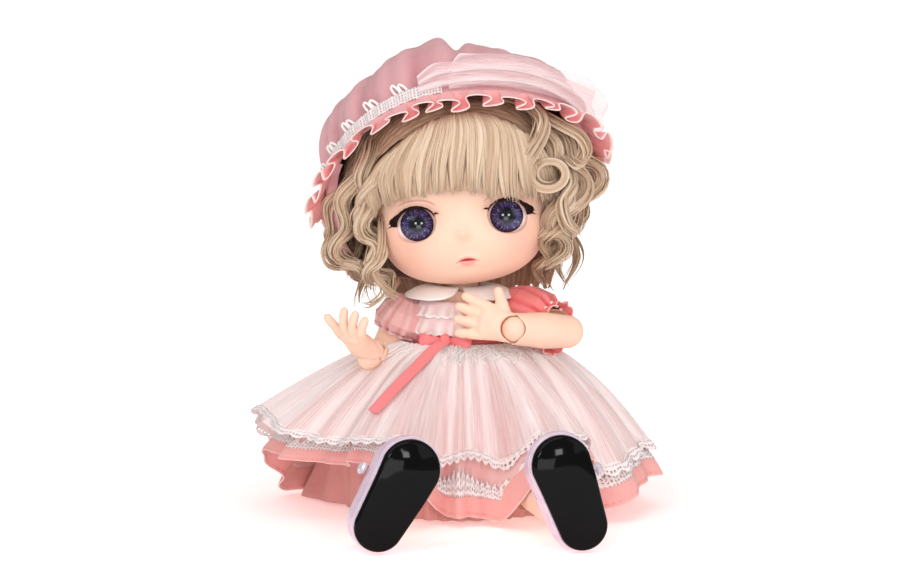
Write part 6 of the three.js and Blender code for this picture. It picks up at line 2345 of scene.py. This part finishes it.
    def build_sleeve(self, side: Side) -> None:
        """One puffed sleeve: a gathered swell, drawn in at a cuff and let out to a small frill.

        Args:
            side: which arm.
        """
        pose = POSTURES[side]
        way = aim(*pose.upper_arm)
        shoulder = joint_place(f"shoulder_raise_{side.tag}")
        wide = unit(np.cross(way, vec(0.0, 1.0, 0.2)))
        deep = np.cross(way, wide)
        share, angle = lattice(steps(54), full_turn(241))
        levels = (
            (0, -8.0, 0.4), (0.1, -7.2, 5.2), (0.24, -3.6, 9.4), (0.48, 2.0, 11.3), (0.72, 6.6, 10.2),
            (0.86, 8.6, 7.7), (1, 10.6, 9.4),
        )
        out, radius = profile(levels, share)
        out = np.where(out > 0, out * (1.55 if side is Side.LEFT else 0.45), out)
        radius = radius * (1.0 if side is Side.LEFT else 0.86)
        pleat = cos(13 * angle + 0.7) + 0.5 * cos(22 * angle)
        draw = 0.55 * pleat * (0.35 + 0.65 * bell(share - 0.86, 0.2)) * smooth(share / 0.25)
        sag = 0.7 * cos(angle - 0.6) * sin(pi * share)
        swell = (radius + draw + sag)[..., None] * ring(angle, wide, deep)
        points = shoulder + out[..., None] * way + swell
        # fold is painted shade in the pleats' hollows, most towards the cuff
        fold = clip(0.45 - 0.4 * pleat * (0.4 + bell(share - 0.86, 0.18)), 0, 1)
        finish = "coral_cotton" if side is Side.LEFT else "pale_pink_cotton"
        puff = [Patch(points, masks={"fold": fold, "edge": smooth((share - 0.97) / 0.02)})]
        body, nodes = f"upper_arm_{side.tag}", [f"sleeve_{side.tag}"]
        sleeve = add_piece(f"sleeve_cloth_{side.tag}", puff, body, "pink_cloth", finish, nodes, thick=0.35)
        beads = []
        for place in full_turn(17)[:-1]:
            beads.append(ball(points[46, int((place + pi) / TURN * 240)] + way * 0.3, 0.75, 7, 8))
        pearls = add_piece(f"cuff_pearls_{side.tag}", beads, f"upper_arm_{side.tag}", "white_cloth", "pearl")
        sew(sleeve, 66.0, "gathered", "bodice_cloth", [pearls])

    def build_bow(self) -> None:
        """The bow: two pinched loops, a creased knot, and a long tail on the overlay."""
        angle = math.asin(-3.4 / 13)
        centre = self.trunk.spot(angle, 60.4, 4.4)
        out = unit(np.array([math.sin(angle), -math.cos(angle), 0.0]))
        side = np.cross(UP, out)
        loops = []
        for way in (-1, 1):
            height, spin = lattice(linspace(-1, 1, 15), linspace(0, TURN, 61))
            run = (1 - cos(spin)) / 2
            tall = mix(1.1, 2.9, smooth(run * 1.2)) * (1 + 0.08 * cos(6 * spin))
            x = way * (0.8 + 8.2 * run)
            y = 1.9 * sin(spin) * (0.4 + run) + 0.5 * cos(height * 4) * run
            z = height * tall - 0.16 * way * x * 0.5
            points = centre + x[..., None] * side + y[..., None] * out + z[..., None] * UP
            # fold paints shade towards the knot, where the loops pinch in
            loops.append(Patch(points, masks={"fold": 0.6 * (1 - run)}))
        bow = add_piece("bow_loops", loops, "torso", "coral_ribbon", "coral_satin", ["bow"], thick=0.3)
        rows, columns = lattice(linspace(-90, 90, 24), linspace(-180, 180, 49))
        crease = 1 + 0.07 * cos(radians(columns) * 9)
        lump = aim(columns, rows) * vec(1.9, 1.9, 2.3) * crease[..., None]
        tie = [Patch(centre + lump + out * 0.4)]
        knot = add_piece("bow_knot", tie, "torso", "coral_ribbon", "coral_satin")
        run = steps(70)
        heading = radians(mix(-18.0, -33.0, run))
        path = self.over(heading, 0.62 * run**1.35, 5.6 + 0.3 * sin(9 * run), 0.25)
        path = mix(centre + 1.2 * out, path, smooth(run / 0.12)[:, None])
        outward = unit(vec(0.6 * sin(heading), -0.6 * cos(heading), 0.8))
        wide = unit(np.cross(unit(np.gradient(path, axis=0)), outward))
        across = linspace(-1, 1, 9)
        points = (
            path[:, None] + (2.3 * across)[None, :, None] * wide[:, None]
            + (0.25 * across**2)[None, :, None] * outward[:, None]
        )
        # fold paints shade towards both edges, where the ribbon curls outward
        masks = {"fold": np.broadcast_to(0.3 * np.abs(across) ** 3, (70, 9))}
        tail = add_piece(
            "ribbon_tail_satin", [Patch(points, inside=vec(0.0, 0.0, 10.0), masks=masks)], "torso",
            "coral_ribbon", "coral_satin", ["ribbon_tail"], thick=0.3,
        )
        sew(bow, 34.0, "folded", "sash_ribbon", [knot])
        sew(tail, 42.0, "laid", "overlay_net")

    def build(self) -> None:
        """Builds and dresses the dress."""
        self.build_bodice()
        self.build_skirt()
        self.build_overlay()
        for side in Side:
            self.build_collar(side)
            self.build_sleeve(side)
        self.build_bow()


@dataclass
class Studio:
    """The pale floor, the soft lights and the camera, where the photograph was taken from."""

    distance: float = 1500.0
    above: float = 8.0
    aim_at: Triple = (-3.6, 0.0, 76.3)
    lens: float = 176.1
    floor_half: float = 6000.0
    world_light: float = 0.46

    def lamp(self, name: str, around: float, above: float, away: float, size: float, power: float) -> None:
        """A square soft box that looks at the doll from a direction, in millimetres and watts.

        Args:
            name: the lamp's name.
            around: degrees from straight ahead.
            above: degrees above level.
            away: its distance.
            size: its side.
            power: its power.
        """
        light = bpy.data.lights.new(name, "AREA")
        light.shape, light.size, light.energy = "SQUARE", size * MM, power
        lamp = bpy.data.objects.new(name, light)
        self.look_from(lamp, around, above, away)

    def look_from(self, thing: Piece, around: float, above: float, away: float) -> None:
        """Puts a lamp or the camera in a direction from the picture's middle, facing it.

        Args:
            thing: the lamp or camera.
            around: degrees from straight ahead.
            above: degrees above level.
            away: its distance.
        """
        bpy.context.scene.collection.objects.link(thing)
        middle = np.array(self.aim_at)
        way = aim(around, above)
        thing.location = (middle + way * away) * MM
        right = unit(np.cross(UP, way))
        thing.rotation_mode = "QUATERNION"
        basis = vec(right, np.cross(way, right), way)
        thing.rotation_quaternion = Matrix(basis.tolist()).to_quaternion()

    def build_floor(self) -> None:
        """A pale floor that keeps the shadow, brighter to the camera than to the doll, with a painted shadow and
        bounce light.
        """
        y, x = lattice(linspace(-1, 1, 3) * self.floor_half, linspace(-1, 1, 3) * self.floor_half)
        points = vec(x, y, -0.02)
        floor = place_mesh("studio_floor", [Patch(points, inside=vec(0.0, 0.0, -100.0))])
        look = Look("studio_floor")
        rays = look.node("ShaderNodeLightPath", {}, out="Is Camera Ray")
        seen = rays + rays.other("Is Glossy Ray")
        spot = look.node("ShaderNodeVectorMath", {"operation": "SCALE"}, look.place(), Scale=6.0)
        near = look.node("ShaderNodeTexGradient", {"gradient_type": "SPHERICAL"}, spot, out="Fac")
        # painted shadow and painted pink reflection of the skirt: the glow that camera and mirrors see is lower and
        # pinker near the doll
        pale = look.blend(near.between(0.0, 0.6), (0.7, 0.66, 0.655), (0.6, 0.37, 0.355))
        # other rays get a faint glow: a painted bounce light on the doll
        glow_with_painted_shadow = look.blend(seen.between(0.0, 1.0), (0.44, 0.39, 0.37), pale)
        grain = look.noise(look.place(), 40.0)
        colour = look.blend(grain, (0.86, 0.85, 0.85), (0.9, 0.89, 0.89))
        light = {"Emission_Color": glow_with_painted_shadow, "Emission_Strength": 1.0}
        look.finish(Base_Color=colour, Roughness=0.9, Specular_IOR_Level=0.1, **light)
        floor.data.materials.append(look.owner)
        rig.stage(floor)

    def build_world(self) -> None:
        """Even light from all round, which the camera sees as white."""
        look = Look("studio_world", bpy.data.worlds.new("studio_world"))
        bpy.context.scene.world = look.owner
        rays = look.node("ShaderNodeLightPath", {}, out="Is Camera Ray")
        level = look.node("ShaderNodeMapRange", {}, rays, To_Min=self.world_light, To_Max=1.0)
        sky = look.node("ShaderNodeBackground", {}, (1.0, 0.995, 0.99), level)
        look.node("ShaderNodeOutputWorld", {}, sky)

    def build(self) -> None:
        """Sets up floor, world, lamps and camera."""
        self.build_floor()
        self.build_world()
        self.lamp("eye_light_left", -10.0, 19.0, 1100.0, 160.0, 1.35)
        self.lamp("eye_light_right", 18.0, 19.0, 1100.0, 160.0, 1.35)
        self.lamp("key_light", -38.0, 48.0, 1000.0, 600.0, 1.9)
        self.lamp("top_light", 6.0, 66.0, 900.0, 420.0, 1.2)
        self.lamp("fill_light", 55.0, 30.0, 1200.0, 700.0, 1.6)
        self.lamp("front_light", 4.0, 1.0, 1350.0, 480.0, 2.5)
        camera = bpy.data.objects.new("camera", bpy.data.cameras.new("camera"))
        camera.data.lens, camera.data.sensor_width = self.lens, 36.0
        self.look_from(camera, 0.0, self.above, self.distance)
        bpy.context.scene.camera = camera
        bpy.context.scene.view_settings.view_transform = "Standard"


def write_sizes() -> None:
    """Writes the cast model's box and the dressed model's box, in metres."""
    boxes = {"cad": CAD_BOX, "visual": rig.bounds()}
    plain = {name: [[float(x) for x in corner] for corner in box] for name, box in boxes.items()}
    with open(SIZE_FILE, "w") as out:
        json.dump(plain, out)


def main() -> None:
    """Builds the sub-assemblies in order."""
    logging.basicConfig(level=logging.INFO, format="%(name)s %(message)s")
    Studio().build()
    trunk = Trunk()
    trunk.build()
    for side in Side:
        Arm(side).build()
        Leg(side).build()
    Dress(trunk).build()
    head = Head()
    head.build()
    Wig(head).build()
    MobCap(head).build()
    write_sizes()


if __name__ == "__main__":
    main()
